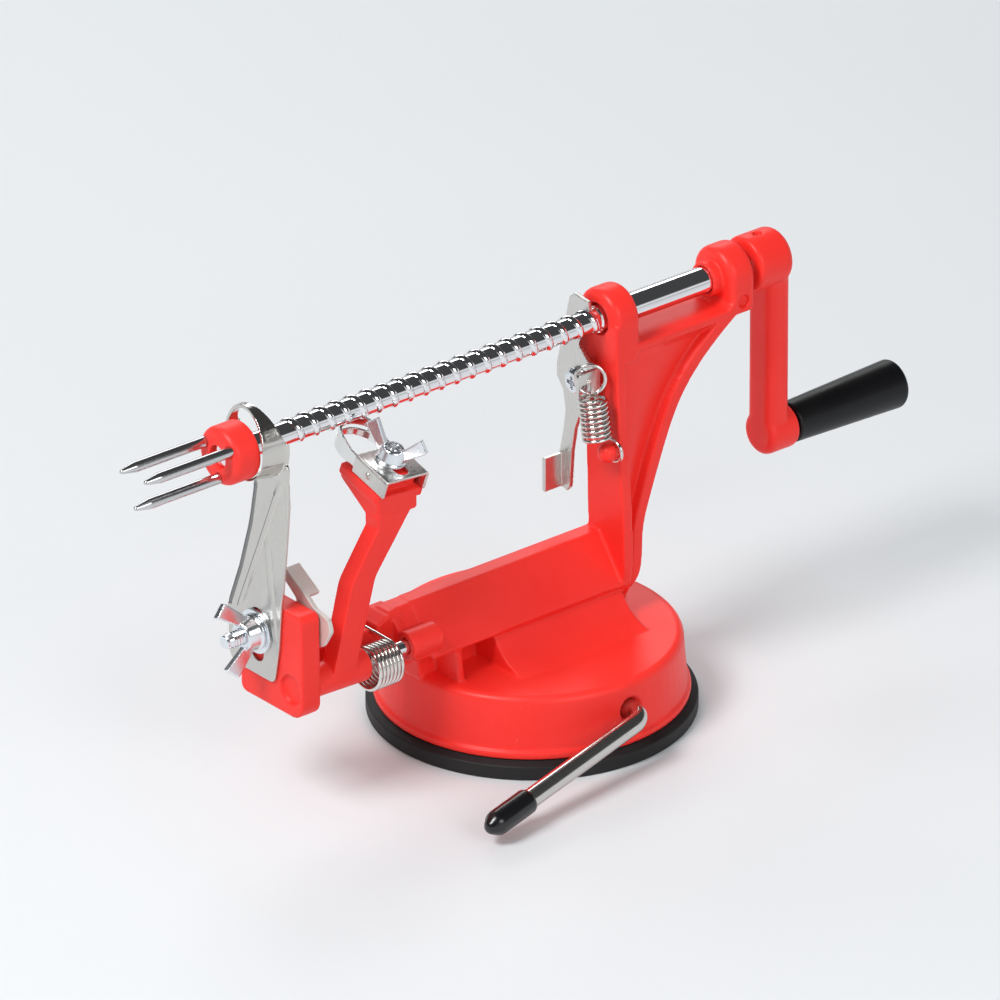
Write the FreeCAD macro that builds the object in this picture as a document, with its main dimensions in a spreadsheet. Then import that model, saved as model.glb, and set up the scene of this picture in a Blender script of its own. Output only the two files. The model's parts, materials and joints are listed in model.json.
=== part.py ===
"""Apple peeler, corer and slicer on a suction base.

The frame is in millimetres, +Z up, with its origin on the table under the middle of the
rubber pad. +X runs from the fork at the front to the crank at the rear, and -Y is the side
of the peeling arm and the suction lever. The feed shaft stands at its foremost place.
"""
import FreeCAD, Part
import math
import os
import re
import types

V = FreeCAD.Vector
doc = FreeCAD.newDocument("apple_peeler")

# Driving dimensions, in millimetres, degrees and counts. Each is named once.
SIZES = {
    # rubber pad and dome
    "pad_radius": 52.5, "pad_rim_height": 4.6, "pad_seat_height": 6.0, "pad_recess": 1.2,
    "pad_rim_width": 9.0, "pad_skin": 3.0, "pad_boss_radius": 9.5, "pad_boss_height": 9.0,
    "flange_radius": 50.2, "flange_thickness": 2.6, "bead_drop": 0.9, "wall_foot_radius": 48.9,
    "wall_top_radius": 47.7, "dome_height": 26.6, "dome_round": 2.6, "shell": 2.8,
    # spine, bar and front bracket
    "spine_top": 53.0, "spine_left": 4.5, "spine_right": 1.5, "hood_bottom": 37.0,
    "hood_front": 57.0, "flank_front": 25.0, "flank_foot": 23.5, "hood_foot": 13.8,
    "bar_top": 50.0, "bar_bottom": 38.0, "bar_right": 3.4, "bar_left": 7.0,
    "bracket_face": 106.0, "bracket_thickness": 7.4, "bracket_top": 71.0, "bracket_bottom": 35.5,
    "bracket_left": 13.4, "bracket_right": 17.0, "bracket_round": 2.5, "rib_thickness": 2.4,
    # column, shelf and bearing lugs
    "shaft_height": 126.0, "column_face": 26.8, "column_flange": 3.8, "web_right": 9.0,
    "web_left": 3.0, "shelf_drop": 8.0, "shelf_thickness": 2.6, "lug_radius": 9.8,
    "lug_length": 10.2, "lug_round": 2.6, "rear_lug_face": 74.2, "gusset_thickness": 4.2,
    "gusset_right": 9.8, "gusset_left": 6.0, "bore_clearance": 0.1, "bore_flare": 0.8,
    # feed shaft
    "shaft_radius": 4.4, "neck_radius": 3.8, "thread_pitch": 6.2, "thread_depth": 0.95,
    "thread_root": 2.0, "thread_crest": 1.0, "thread_gap": 13.7, "thread_rear": 26.2,
    # fork
    "hub_front": 124.3, "hub_length": 10.0, "hub_radius": 9.5, "hub_round": 2.4,
    "prong_circle": 6.9, "prong_radius": 1.75, "prong_length": 32.5, "prong_point": 5.6,
    "prong_seat": 6.0, "prong_turn": 26.0, "washer_radius": 5.6, "washer_thickness": 1.2,
    # crank and handle
    "crank_gap": 2.5, "crank_hub_length": 14.3, "crank_hub_radius": 9.4, "crank_throw": 61.2,
    "crank_arm_thick": 9.0, "crank_arm_wide": 12.2, "crank_arm_round": 3.2,
    "crank_boss_radius": 7.3, "crank_boss_length": 12.2, "crank_pin_radius": 1.5,
    "handle_gap": 0.6, "handle_length": 44.8, "handle_root_radius": 6.7,
    "handle_end_radius": 8.2, "handle_pin_radius": 2.6, "pin_head": 3.6, "running_fit": 0.08,
    # thread lever with its screw, post and spring
    "lever_gap": 2.0, "lever_plate": 1.5, "lever_pivot_y": 4.4, "lever_pivot_drop": 21.8,
    "lever_boss_radius": 5.4, "lever_screw_radius": 2.0, "lever_screw_head": 4.6,
    "lever_tab_reach": 7.0, "ear_reach": 7.6, "ear_y": 4.4, "post_y": 10.2, "post_drop": 41.4,
    "post_radius": 2.7, "post_reach": 7.0, "tension_wire": 1.05, "tension_radius": 4.25,
    "tension_turns": 8.625, "tension_pitch": 1.62, "loop_radius": 4.7,
    # peeling arm
    "arm_pivot_y": 11.3, "arm_pivot_z": 44.6, "arm_hub_radius": 5.3, "arm_hub_length": 20.6,
    "arm_thick": 6.4, "pin_radius": 2.4, "side_gap": 0.3, "torsion_wire": 1.0,
    "torsion_radius": 6.7, "torsion_turns": 6.75, "torsion_pitch": 1.46, "torsion_hang": 2.7,
    "head_tilt": 15.6, "head_roll": 6.0, "head_drop": 24.8,
    "head_wide": 18.6, "head_thick": 3.1, "holder_wide": 17.4, "holder_long": 15.4,
    "holder_deep": 6.4, "holder_sheet": 1.0, "slot_long": 11.5, "slot_wide": 4.8,
    "hoop_start": 13.0, "hoop_deep": 9.0, "hoop_top": 8.6, "slit_height": 3.6, "slit_wide": 1.5,
    "blade_sheet": 0.7, "peeler_bolt_radius": 2.0, "wing_hub_radius": 4.3,
    "wing_hub_height": 3.8, "wing_reach": 8.8, "wing_thick": 1.9, "wing_rise": 4.8,
    # slicing and coring blade
    "slicer_sheet": 1.0, "ring_radius": 11.7, "ring_length": 8.4, "ring_flare": 0.9,
    "ring_y": 0.6, "ring_lift": 1.0, "slicer_bolt_y": 3.6, "slicer_bolt_z": 57.6,
    "stud_lift": 2.2,
    "slicer_bolt_radius": 2.6, "slicer_bolt_reach": 13.0, "slot_half": 9.0, "slot_shift": 0.9,
    "slicer_hub_height": 5.2, "slicer_wing_reach": 12.0, "slicer_wing_rise": 13.4,
    "slicer_washer_radius": 7.3, "slicer_washer_thickness": 1.1,
    # catch lever
    "catch_plate": 1.5, "catch_pivot_y": 3.0, "catch_pivot_z": 65.0, "rivet_radius": 1.7,
    "rivet_head": 3.3, "catch_tab": 4.0,
    # suction lever and stem
    "rod_radius": 3.15, "rod_height": 17.0, "cam_throw": 1.3, "cam_width": 12.0,
    "rod_inner_end": 21.0, "stem_wide": 14.0, "stem_deep": 9.0, "elbow_y": 54.5,
    "elbow_radius": 6.4, "rod_tip_x": 68.5, "rod_tip_y": 64.6, "rod_tip_z": 6.9,
    "cap_radius": 4.1, "cap_length": 19.5, "clip_radius": 6.0, "clip_thickness": 1.0,
}
sheet = doc.addObject("Spreadsheet::Sheet", "sizes")
for row, (alias, value) in enumerate(SIZES.items(), 1):
    sheet.set("A%d" % row, alias)
    sheet.set("B%d" % row, str(value))
    sheet.setAlias("B%d" % row, alias)
doc.recompute()
s = types.SimpleNamespace(**{alias: float(getattr(sheet, alias)) for alias in SIZES})
# Places that follow the feed shaft
s.shelf_top = s.shaft_height - s.shelf_drop
s.lever_pivot_z = s.shaft_height - s.lever_pivot_drop
s.post_z = s.shaft_height - s.post_drop
s.ring_z = s.shaft_height + s.ring_lift
s.thread_front = s.hub_front - s.hub_length - s.thread_gap
nodes = []


# Helpers for bodies, sketches and features

def put(item, prop, text):
    """Bind a property to an expression of the named sizes."""
    named = re.sub(r"[a-z]+_[a-z_]+|shell", lambda m: "sizes." + m.group(0), text)
    item.setExpression(prop, named)


def place(item, x="0", y="0", z="0"):
    for axis, text in (("x", x), ("y", y), ("z", z)):
        put(item, "Placement.Base." + axis, text)


def new_body(label):
    body = doc.addObject("PartDesign::Body", label)
    body.Label = label
    nodes.append(body)
    return body


def new_sketch(body, role, offset="0"):
    """A sketch on one of the body's origin planes: XY, XZ (offset towards -Y) or YZ."""
    sketch = body.newObject("Sketcher::SketchObject", body.Name + "_outline")
    origin = [f for f in body.Origin.OriginFeatures if f.Role == role + "_Plane"]
    sketch.AttachmentSupport = [(origin[0], "")]
    sketch.MapMode = "FlatFace"
    put(sketch, "AttachmentOffset.Base.z", offset)
    return sketch


def outline(sketch, corners):
    """A closed outline of straight runs; a corner (u, v, r) is rounded with radius r."""
    ends = []
    count = len(corners)
    for i, corner in enumerate(corners):
        here = V(corner[0], corner[1], 0)
        radius = corner[2] if len(corner) > 2 else 0
        if not radius:
            ends.append((here, here, None))
            continue
        before = (V(*corners[i - 1][:2], 0) - here).normalize()
        after = (V(*corners[(i + 1) % count][:2], 0) - here).normalize()
        half = before.getAngle(after) / 2
        cut = radius / math.tan(half)
        middle = here + (before + after).normalize() * (radius / math.sin(half) - radius)
        ends.append((here + before * cut, here + after * cut, middle))
    for i, (start, stop, middle) in enumerate(ends):
        if middle is not None:
            sketch.addGeometry(Part.Arc(start, middle, stop))
        follow = ends[(i + 1) % count][0]
        if (follow - stop).Length > 1e-6:
            sketch.addGeometry(Part.LineSegment(stop, follow))


def circle(sketch, u, v, radius):
    """A circle at a plain place whose radius is bound to the sizes."""
    import Sketcher
    ring = sketch.addGeometry(Part.Circle(V(u, v, 0), V(0, 0, 1), 1.0))
    rule = sketch.addConstraint(Sketcher.Constraint("Radius", ring, 1.0))
    put(sketch, "Constraints[%d]" % rule, radius)


def pad(body, sketch, length, both=False, back=False):
    feature = body.newObject("PartDesign::Pad", body.Name + "_pad")
    feature.Profile = sketch
    feature.Midplane = both
    feature.Reversed = back
    put(feature, "Length", length)
    return feature


def pocket(body, sketch, length, both=False, back=False):
    """Cuts along the sketch's normal, or against it with back."""
    feature = body.newObject("PartDesign::Pocket", body.Name + "_pocket")
    feature.Profile = sketch
    feature.Midplane = both
    feature.Reversed = not back
    put(feature, "Length", length)
    return feature


def turn(body, sketch, axis, cut=False):
    kind = "PartDesign::Groove" if cut else "PartDesign::Revolution"
    feature = body.newObject(kind, body.Name + "_turned")
    feature.Profile = sketch
    feature.ReferenceAxis = (sketch, [axis])
    feature.Angle = 360
    return feature


def turned_piece(label, profile, x="0", y="0", z="0"):
    """A body turned about a line along X, from a profile of (place along X, radius)."""
    body = new_body(label)
    sketch = new_sketch(body, "XZ")
    outline(sketch, profile)
    turn(body, sketch, "H_Axis")
    place(body, x, y, z)
    return body


def drill(body, role, offset, u, v, radius, length, both=False, back=False):
    sketch = new_sketch(body, role, offset)
    circle(sketch, u, v, radius)
    return pocket(body, sketch, length, both, back)


def plain_node(label, shape):
    """A node whose shape comes from code, where sketches and primitives don't fit."""
    node = doc.addObject("Part::Feature", label)
    node.Label = label
    node.Shape = shape
    nodes.append(node)
    return node


def cylinder(radius, length, start, along):
    return Part.makeCylinder(radius, length, start, along)


# Frame: dome, spine, column, lugs and front bracket in one moulding

RIBS = (-40.0,)


def dome(body):
    foot = s.pad_seat_height
    flange_top = foot + s.flange_thickness
    bead = flange_top + 2.4
    inside = s.wall_foot_radius - s.shell
    sketch = new_sketch(body, "XZ")
    outline(sketch, [
        (0, s.dome_height - s.shell), (inside - 1.2, s.dome_height - s.shell, 2.0), (inside, foot),
        (s.flange_radius, foot, 0.5), (s.flange_radius, flange_top, 0.9),
        (s.wall_foot_radius + 0.1, flange_top, 0.2), (s.wall_foot_radius, bead, 0.5),
        (s.wall_top_radius, s.dome_height, s.dome_round), (0, s.dome_height)])
    turn(body, sketch, "V_Axis")


def spine(body):
    """The hooded spine in front of the column, and the flanks that spread onto the dome."""
    for front, drop in (("-hood_front", 1.0), ("-hood_front + 7", 0.0)):
        hood = new_sketch(body, "YZ", front)
        outline(hood, [
            (s.spine_left, s.spine_top - drop / 4, 1.0), (-s.spine_right, s.spine_top - drop / 4, 1.0),
            (-s.hood_foot + drop, s.hood_bottom + drop, 0.8),
            (s.hood_foot + 3 - drop, s.hood_bottom + drop, 0.8)])
        pad(body, hood, "7.5" if drop else "hood_front - 7 + column_face + 1")
    flank = new_sketch(body, "YZ", "-flank_front")
    sunk = s.dome_height - 1.0
    outline(flank, [
        (s.spine_left, s.spine_top - 0.01, 1.0), (-s.spine_right, s.spine_top - 0.01, 1.0),
        (-15.2, 30.6, 16), (-s.flank_foot - 4, sunk), (s.flank_foot + 7, sunk), (18.2, 30.6, 16)])
    pad(body, flank, "flank_front + column_face + 0.2")
    keel = new_sketch(body, "YZ", "-hood_front + 9")
    outline(keel, [(4, s.hood_bottom + 1), (-1, s.hood_bottom + 1), (-3, sunk), (6, sunk)])
    pad(body, keel, "hood_front - 9 - flank_front + 1")
    for middle in RIBS:
        rib = new_sketch(body, "YZ", "%g - rib_thickness / 2" % middle)
        outline(rib, [
            (0, s.hood_bottom + 1.5), (-s.hood_foot + 1.4, s.hood_bottom + 1.5),
            (-s.hood_foot - 0.6, sunk), (0, sunk)])
        pad(body, rib, "rib_thickness")


def bar(body):
    """The bar from the spine to the front bracket, and the boss of the arm's pivot pin."""
    side = new_sketch(body, "XZ", "bar_right")
    rear = -s.hood_front + 2
    outline(side, [
        (-s.bracket_face + 1, s.bar_bottom), (rear, s.bar_bottom), (rear, s.spine_top - 1),
        (-60.5, s.spine_top - 1, 2), (-64.5, s.bar_top, 2), (-s.bracket_face + 1, s.bar_top)])
    pad(body, side, "bar_right + bar_left", back=True)
    notch = new_sketch(body, "XZ", "bar_right + 1")
    low = s.arm_pivot_z - s.torsion_hang + s.torsion_radius - s.torsion_wire / 2 - s.side_gap
    outline(notch, [(-68.0, low), (-65.0, low), (-65.0, low + 9), (-68.0, low + 9)])
    pocket(body, notch, "bar_right + 4", back=True)
    end = new_sketch(body, "YZ", "-hood_front - 2.2")
    outline(end, [
        (s.spine_left, s.spine_top - 0.4, 1.0), (-s.spine_right - 0.6, s.spine_top - 0.4, 1.0),
        (-s.hood_foot + 4, s.hood_bottom + 6, 2), (-s.hood_foot + 4, s.hood_bottom),
        (s.hood_foot, s.hood_bottom)])
    pad(body, end, "3")
    boss = new_sketch(body, "YZ", "-hood_front - 3.4")
    circle(boss, -s.arm_pivot_y, s.arm_pivot_z, "pin_radius + 2.4")
    pad(body, boss, "12")


def bracket(body):
    """The upright plate that carries the slicing blade, the catch and the arm's pivot pin."""
    face = "-bracket_face"
    plate = new_sketch(body, "YZ", face)
    r = s.bracket_round
    outline(plate, [
        (s.bracket_left, s.bracket_bottom, r), (-s.bracket_right, s.bracket_bottom, 2 * r),
        (-s.bracket_right, s.bracket_top, r), (s.bracket_left, s.bracket_top, r)])
    pad(body, plate, "bracket_thickness")
    drill(body, "YZ", face, -s.arm_pivot_y, s.arm_pivot_z, "pin_radius * 2", "1.3")


def stretched(z):
    """A height on the column, drawn with the shaft 73 mm over the spine's top at 53 mm."""
    return s.spine_top + (z - 53.0) * (s.shaft_height - s.spine_top) / 73.0


def column(body):
    """The upright behind the apple: front flange, web, shelf and curved rear flange."""
    face = "column_face"
    top = s.shaft_height
    front = new_sketch(body, "YZ", face)
    outline(front, [
        (s.lug_radius - 3.2, top), (-s.lug_radius, top), (-s.lug_radius, stretched(113), 20),
        (-11.0, stretched(84), 60), (-13.0, stretched(60), 60), (-13.2, 44, 12), (-12.0, 35.4, 2),
        (-2.5, s.dome_height - 1), (9.5, s.dome_height - 1), (4.4, s.spine_top, 10),
        (5.2, stretched(82), 40), (s.lug_radius - 3.2, stretched(113), 20)])
    pad(body, front, "column_flange")
    web = new_sketch(body, "XZ", "web_right")
    inner = s.column_face + s.column_flange - 0.5
    web_top = s.shelf_top - 0.5
    outline(web, [
        (inner, web_top), (s.rear_lug_face + 3, web_top), (62.5, stretched(104)),
        (53.5, stretched(94)), (44.5, stretched(79)), (37.8, stretched(62)), (35.4, 45), (34.4, 36),
        (inner, s.dome_height + 3)])
    pad(body, web, "web_right + web_left", back=True)
    root = new_sketch(body, "XZ", "2.5")
    low = s.dome_height - 1
    outline(root, [(inner, 60), (35.4, 45), (34.4, 36), (36.0, low), (inner, low)])
    pad(body, root, "2.5 + web_left", back=True)
    shelf = new_sketch(body, "XZ", "gusset_right")
    low = s.shelf_top - s.shelf_thickness
    outline(shelf, [
        (s.column_face + 1, low), (s.rear_lug_face + 5, low), (s.rear_lug_face + 5, s.shelf_top),
        (s.column_face + 1, s.shelf_top)])
    pad(body, shelf, "gusset_right + gusset_left", back=True)


def rear_flange(body):
    """A band that sweeps from under the rear lug down to the dome."""
    outer = [V(x, stretched(z), 0) for x, z in (
        (77.6, 116.4), (69.2, 110.4), (60.9, 103.3), (53.5, 94.1), (46.6, 79.5), (40.6, 63.0),
        (37.9, 53.0))]
    outer += [V(37.4, 43.6, 0), V(36.2, 37.6, 0), V(32.8, 34.0, 0)]
    curve = Part.BSplineCurve()
    curve.interpolate(outer)
    sketch = new_sketch(body, "XZ", "gusset_right")
    depth = s.gusset_thickness
    inner = []
    for point in reversed(outer):
        at = curve.parameter(point)
        tangent = curve.tangent(at)[0]
        inner.append(point + V(tangent.y, -tangent.x, 0) * depth)
    inside = Part.BSplineCurve()
    inside.interpolate(inner)
    sketch.addGeometry(curve)
    sketch.addGeometry(Part.LineSegment(outer[-1], inner[0]))
    sketch.addGeometry(inside)
    sketch.addGeometry(Part.LineSegment(inner[-1], outer[0]))
    pad(body, sketch, "gusset_right + gusset_left", back=True)


def lugs(body):
    """Two arched bearing lugs in line, with their bores."""
    crown = s.shaft_height
    for face, foot in ((s.column_face, crown - 13.5), (s.rear_lug_face, s.shelf_top - s.shelf_thickness)):
        sketch = new_sketch(body, "XZ")
        far = face + s.lug_length
        rim = crown + s.lug_radius
        outline(sketch, [
            (face, crown), (face, rim, s.lug_round), (far, rim, s.lug_round), (far, crown)])
        line = Part.LineSegment(V(face - 5, crown, 0), V(far + 5, crown, 0))
        sketch.addGeometry(line, True)
        turn(body, sketch, "Axis0")
        block = new_sketch(body, "XY", "%g" % foot)
        side = s.lug_radius
        outline(block, [
            (face, -side, s.lug_round), (far, -side, s.lug_round), (far, side, s.lug_round),
            (face, side, s.lug_round)])
        pad(body, block, "%g" % (crown - foot))
    collar = new_sketch(body, "YZ", "rear_lug_face - 3.6")
    circle(collar, 0, crown, "shaft_radius + 1.3")
    pad(body, collar, "4")
    recess = "lug_radius"
    drill(body, "XZ", recess, s.rear_lug_face + 5.1, s.shelf_top + 1.2, "2.2", "1.6", back=True)
    bore = "shaft_radius + bore_clearance"
    drill(body, "YZ", "column_face - 1", 0, crown, bore, "rear_lug_face + lug_length + 2 - column_face")
    drill(body, "YZ", "column_face", 0, crown, bore + " + bore_flare", "1.6")


def lever_seats(body):
    """The thread lever's pivot boss and the round post of its spring."""
    boss = new_sketch(body, "YZ", "column_face - lever_gap + side_gap")
    circle(boss, s.lever_pivot_y, s.lever_pivot_z, "lever_boss_radius")
    pad(body, boss, "lever_gap - side_gap + column_flange")
    drill(body, "YZ", "column_face - lever_gap", s.lever_pivot_y, s.lever_pivot_z,
          "lever_screw_radius + running_fit", "lever_gap + column_flange - 0.6")
    sketch = new_sketch(body, "XZ", "post_y")
    start = s.column_face - s.post_reach
    outline(sketch, [
        (start, s.post_z), (start, s.post_z + s.post_radius + 0.5, 2.4),
        (start + 4.2, s.post_z + s.post_radius + 0.5, 0.8), (start + 4.6, s.post_z + s.post_radius - 0.5),
        (s.column_face + 1, s.post_z + s.post_radius - 0.5), (s.column_face + 1, s.post_z)])
    sketch.addGeometry(Part.LineSegment(V(0, s.post_z, 0), V(9, s.post_z, 0)), True)
    turn(body, sketch, "Axis0")


def rod_seats(body):
    """The suction lever's bearings: a sleeve in the wall and a bracket under the crown."""
    hole = "rod_radius + running_fit"
    sleeve = new_sketch(body, "XZ", "wall_foot_radius - 11")
    circle(sleeve, 0, s.rod_height, "rod_radius + 3")
    pad(body, sleeve, "9.6")
    hanger = new_sketch(body, "XZ", "-18")
    outline(hanger, [
        (-7, s.dome_height - 1), (7, s.dome_height - 1), (6, s.rod_height - 6, 3),
        (-6, s.rod_height - 6, 3)])
    pad(body, hanger, "4")
    drill(body, "XZ", "-20", 0, s.rod_height, hole, "wall_foot_radius + 22")
    drill(body, "XZ", "wall_top_radius - 0.5", 0, s.rod_height, "rod_radius + 1", "4")


def frame_holes(body):
    """Holes of the pivot pin, the slicer stud and the catch's rivet."""
    front = "-bracket_face - 1"
    drill(body, "YZ", "-bracket_face + 2.4", -s.arm_pivot_y, s.arm_pivot_z, "pin_radius + running_fit",
          "bracket_face - hood_front + 5")
    drill(body, "YZ", front, s.slicer_bolt_y, s.slicer_bolt_z + s.stud_lift,
          "slicer_bolt_radius + running_fit", "bracket_thickness")
    drill(body, "YZ", front, -s.catch_pivot_y, s.catch_pivot_z, "rivet_radius + running_fit",
          "bracket_thickness + 2")


def make_frame():
    body = new_body("frame")
    dome(body)
    spine(body)
    bar(body)
    bracket(body)
    column(body)
    rear_flange(body)
    lugs(body)
    lever_seats(body)
    rod_seats(body)
    frame_holes(body)
    return body


# Suction base

def make_suction_pad():
    body = new_body("suction_pad")
    sketch = new_sketch(body, "XZ")
    rim_inner = s.pad_radius - s.pad_rim_width
    skin_top = s.pad_recess + s.pad_skin
    outline(sketch, [
        (0, s.pad_recess), (rim_inner, s.pad_recess), (rim_inner + 2, 0), (s.pad_radius, 0, 0.6),
        (s.pad_radius, s.pad_rim_height, 0.8), (s.flange_radius - 0.8, s.pad_seat_height),
        (rim_inner, s.pad_seat_height, 0.8), (rim_inner - 1.5, skin_top, 0.8),
        (s.pad_boss_radius + 2, skin_top, 1.5), (s.pad_boss_radius, s.pad_boss_height, 0.8),
        (0, s.pad_boss_height)])
    turn(body, sketch, "V_Axis")
    return body


def make_suction_stem():
    """A block moulded to the pad's boss; the cam of the lever turns in its eye."""
    body = new_body("suction_stem")
    low = s.rod_height - s.cam_throw
    play = 0.5
    top = low + s.rod_radius + play
    half = s.stem_wide / 2
    sketch = new_sketch(body, "XZ")
    outline(sketch, [
        (-half, s.pad_boss_height), (half, s.pad_boss_height), (half, top + 1.2, 1.5),
        (-half, top + 1.2, 1.5)])
    pad(body, sketch, "stem_deep", both=True)
    eye = new_sketch(body, "XZ")
    reach = s.rod_radius + s.cam_throw + play
    bottom = low - s.rod_radius - play
    outline(eye, [(-reach, bottom, 1), (reach, bottom, 1), (reach, top, 1), (-reach, top, 1)])
    pocket(body, eye, "stem_deep + 2", both=True)
    return body


def make_suction_lever():
    """One bent rod: crank cam inside, a round elbow outside and a long handle end."""
    axis = V(0, 0, s.rod_height)
    corner = axis + V(0, -s.elbow_y, 0)
    tip = V(-s.rod_tip_x, -s.rod_tip_y, s.rod_tip_z)
    inward = V(0, 1, 0)
    outward = (tip - corner).normalize()
    half = inward.getAngle(outward) / 2
    cut = s.elbow_radius / math.tan(half)
    middle = corner + (inward + outward).normalize() * (s.elbow_radius / math.sin(half) - s.elbow_radius)
    web = 1.2
    start = axis + V(0, -s.cam_width / 2 - web / 2, 0)
    path = Part.Wire([
        Part.LineSegment(start, corner + inward * cut).toShape(),
        Part.Arc(corner + inward * cut, middle, corner + outward * cut).toShape(),
        Part.LineSegment(corner + outward * cut, tip).toShape()])
    profile = Part.Wire(Part.makeCircle(s.rod_radius, start, V(0, 1, 0)))
    rod = path.makePipeShell([profile], True, False)
    cam_axis = axis + V(0, -s.cam_width / 2 - web / 2, -s.cam_throw)
    pieces = [cylinder(s.rod_radius, s.cam_width + web, cam_axis, inward)]
    for near in (-s.cam_width / 2 - web, s.cam_width / 2):
        centre = axis + V(0, near, -s.cam_throw / 2)
        pieces.append(cylinder(s.rod_radius + s.cam_throw / 2 + 0.3, web, centre, inward))
    far = axis + V(0, s.cam_width / 2 + web / 2, 0)
    pieces.append(cylinder(s.rod_radius, s.rod_inner_end - far.y, far, inward))
    plain_node("suction_lever", rod.multiFuse(pieces).removeSplitter())
    return tip, outward


def make_lever_cap(tip, outward):
    """A dipped vinyl cap with a round end."""
    r = s.cap_radius
    start = tip - outward * (s.cap_length - r)
    cap = cylinder(r, s.cap_length - r, start, outward)
    cap = cap.fuse(Part.makeSphere(r, tip)).removeSplitter()
    bore = cylinder(s.rod_radius + 0.02, s.cap_length - r + 0.02, start, outward)
    plain_node("lever_cap", cap.cut(bore))


def make_lever_clip():
    """A push-on ring that keeps the rod in its inner bearing."""
    clip = doc.addObject("Part::Cylinder", "clip_disc")
    put(clip, "Radius", "clip_radius")
    put(clip, "Height", "clip_thickness")
    hole = doc.addObject("Part::Cylinder", "clip_hole")
    put(hole, "Radius", "rod_radius + 0.02")
    put(hole, "Height", "clip_thickness")
    cut = doc.addObject("Part::Cut", "lever_clip")
    cut.Base = clip
    cut.Tool = hole
    cut.Label = "lever_clip"
    cut.Placement = FreeCAD.Placement(V(0, 18.3, s.rod_height), FreeCAD.Rotation(V(1, 0, 0), -90))
    nodes.append(cut)


# Feed shaft, fork and crank

def shaft_ends():
    front = -s.hub_front + 1.6
    rear = s.rear_lug_face + s.lug_length + s.crank_gap + s.crank_hub_length - 3.5
    return front, rear


def helix_ridge():
    """The feed thread's ridge, a right-handed screw along +X with a tapered section."""
    length = s.thread_front + s.thread_rear - 1.0
    root = s.shaft_radius - s.thread_depth
    helix = Part.makeHelix(s.thread_pitch, length, root)
    sunk = 0.25
    wide = s.thread_root / 2
    narrow = s.thread_crest / 2
    section = Part.makePolygon([
        V(root - sunk, 0, -wide), V(s.shaft_radius, 0, -narrow), V(s.shaft_radius, 0, narrow),
        V(root - sunk, 0, wide), V(root - sunk, 0, -wide)])
    ridge = Part.Wire(helix.Edges).makePipeShell([section], True, True)
    ridge.rotate(V(0, 0, 0), V(0, 1, 0), 90)
    # The ridge passes the shaft's +Y side half a pitch behind the lever's tooth.
    plate_middle = s.column_face - s.lever_gap - s.lever_plate / 2
    wanted = plate_middle - 0.60 * s.thread_pitch
    start = -s.thread_front
    turns = (wanted - start) / s.thread_pitch
    ridge.rotate(V(0, 0, 0), V(1, 0, 0), 90 + 90 - 360 * (turns % 1) - 90)
    ridge.translate(V(start, 0, 0))
    return ridge


def make_feed_shaft():
    front, rear = shaft_ends()
    root = s.shaft_radius - s.thread_depth
    profile = [(front, 0), (front, s.neck_radius, 0.5), (-s.thread_front - 2.5, s.neck_radius),
               (-s.thread_front - 1.5, root), (s.thread_rear - 0.6, root),
               (s.thread_rear, s.shaft_radius), (rear, s.shaft_radius, 0.6), (rear, 0)]
    core = Part.makePolygon([V(p[0], 0, p[1]) for p in profile] + [V(front, 0, 0)])
    core = Part.Face(core).revolve(V(0, 0, 0), V(1, 0, 0), 360)
    shaft = core.fuse(helix_ridge())
    cross = cylinder(s.crank_pin_radius, 40, V(crank_pin_x(), 0, -20), V(0, 0, 1))
    node = plain_node("feed_shaft", shaft.cut(cross))
    node.Placement = FreeCAD.Placement(V(0, 0, s.shaft_height), FreeCAD.Rotation())


def prong_places():
    for i in range(3):
        angle = math.radians(s.prong_turn + 120 * i)
        yield s.prong_circle * math.cos(angle), s.prong_circle * math.sin(angle)


def make_fork():
    rear = -s.hub_front + s.hub_length
    hub = turned_piece("fork_hub", [
        (-s.hub_front, 0), (-s.hub_front, s.hub_radius, s.hub_round),
        (rear, s.hub_radius, s.hub_round / 2), (rear, 0)], z="shaft_height")
    drill(hub, "YZ", "-hub_front - 1", 0, 0, "neck_radius + running_fit", "hub_length + 2")
    for y, z in prong_places():
        drill(hub, "YZ", "-hub_front - 1", y, z, "prong_radius + 0.03", "prong_seat + 1")
    prongs = []
    for y, z in prong_places():
        length = s.prong_length + s.prong_seat - s.prong_point
        root = V(-s.hub_front + s.prong_seat, y, s.shaft_height + z)
        shank = cylinder(s.prong_radius, length, root, V(-1, 0, 0))
        start = root - V(length, 0, 0)
        point = Part.makeCone(s.prong_radius, 0.7, s.prong_point, start, V(-1, 0, 0))
        prongs.append(shank.fuse(point).removeSplitter())
    plain_node("fork_prongs", Part.makeCompound(prongs))
    gap = s.side_gap
    washer = turned_piece("hub_washer", [
        (rear + gap, s.neck_radius + s.running_fit), (rear + gap, s.washer_radius, 0.2),
        (rear + gap + s.washer_thickness, s.washer_radius, 0.2),
        (rear + gap + s.washer_thickness, s.neck_radius + s.running_fit)], z="shaft_height")
    return hub, washer


def crank_front():
    return s.rear_lug_face + s.lug_length + s.crank_gap


def crank_pin_x():
    return crank_front() + 6.0


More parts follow.
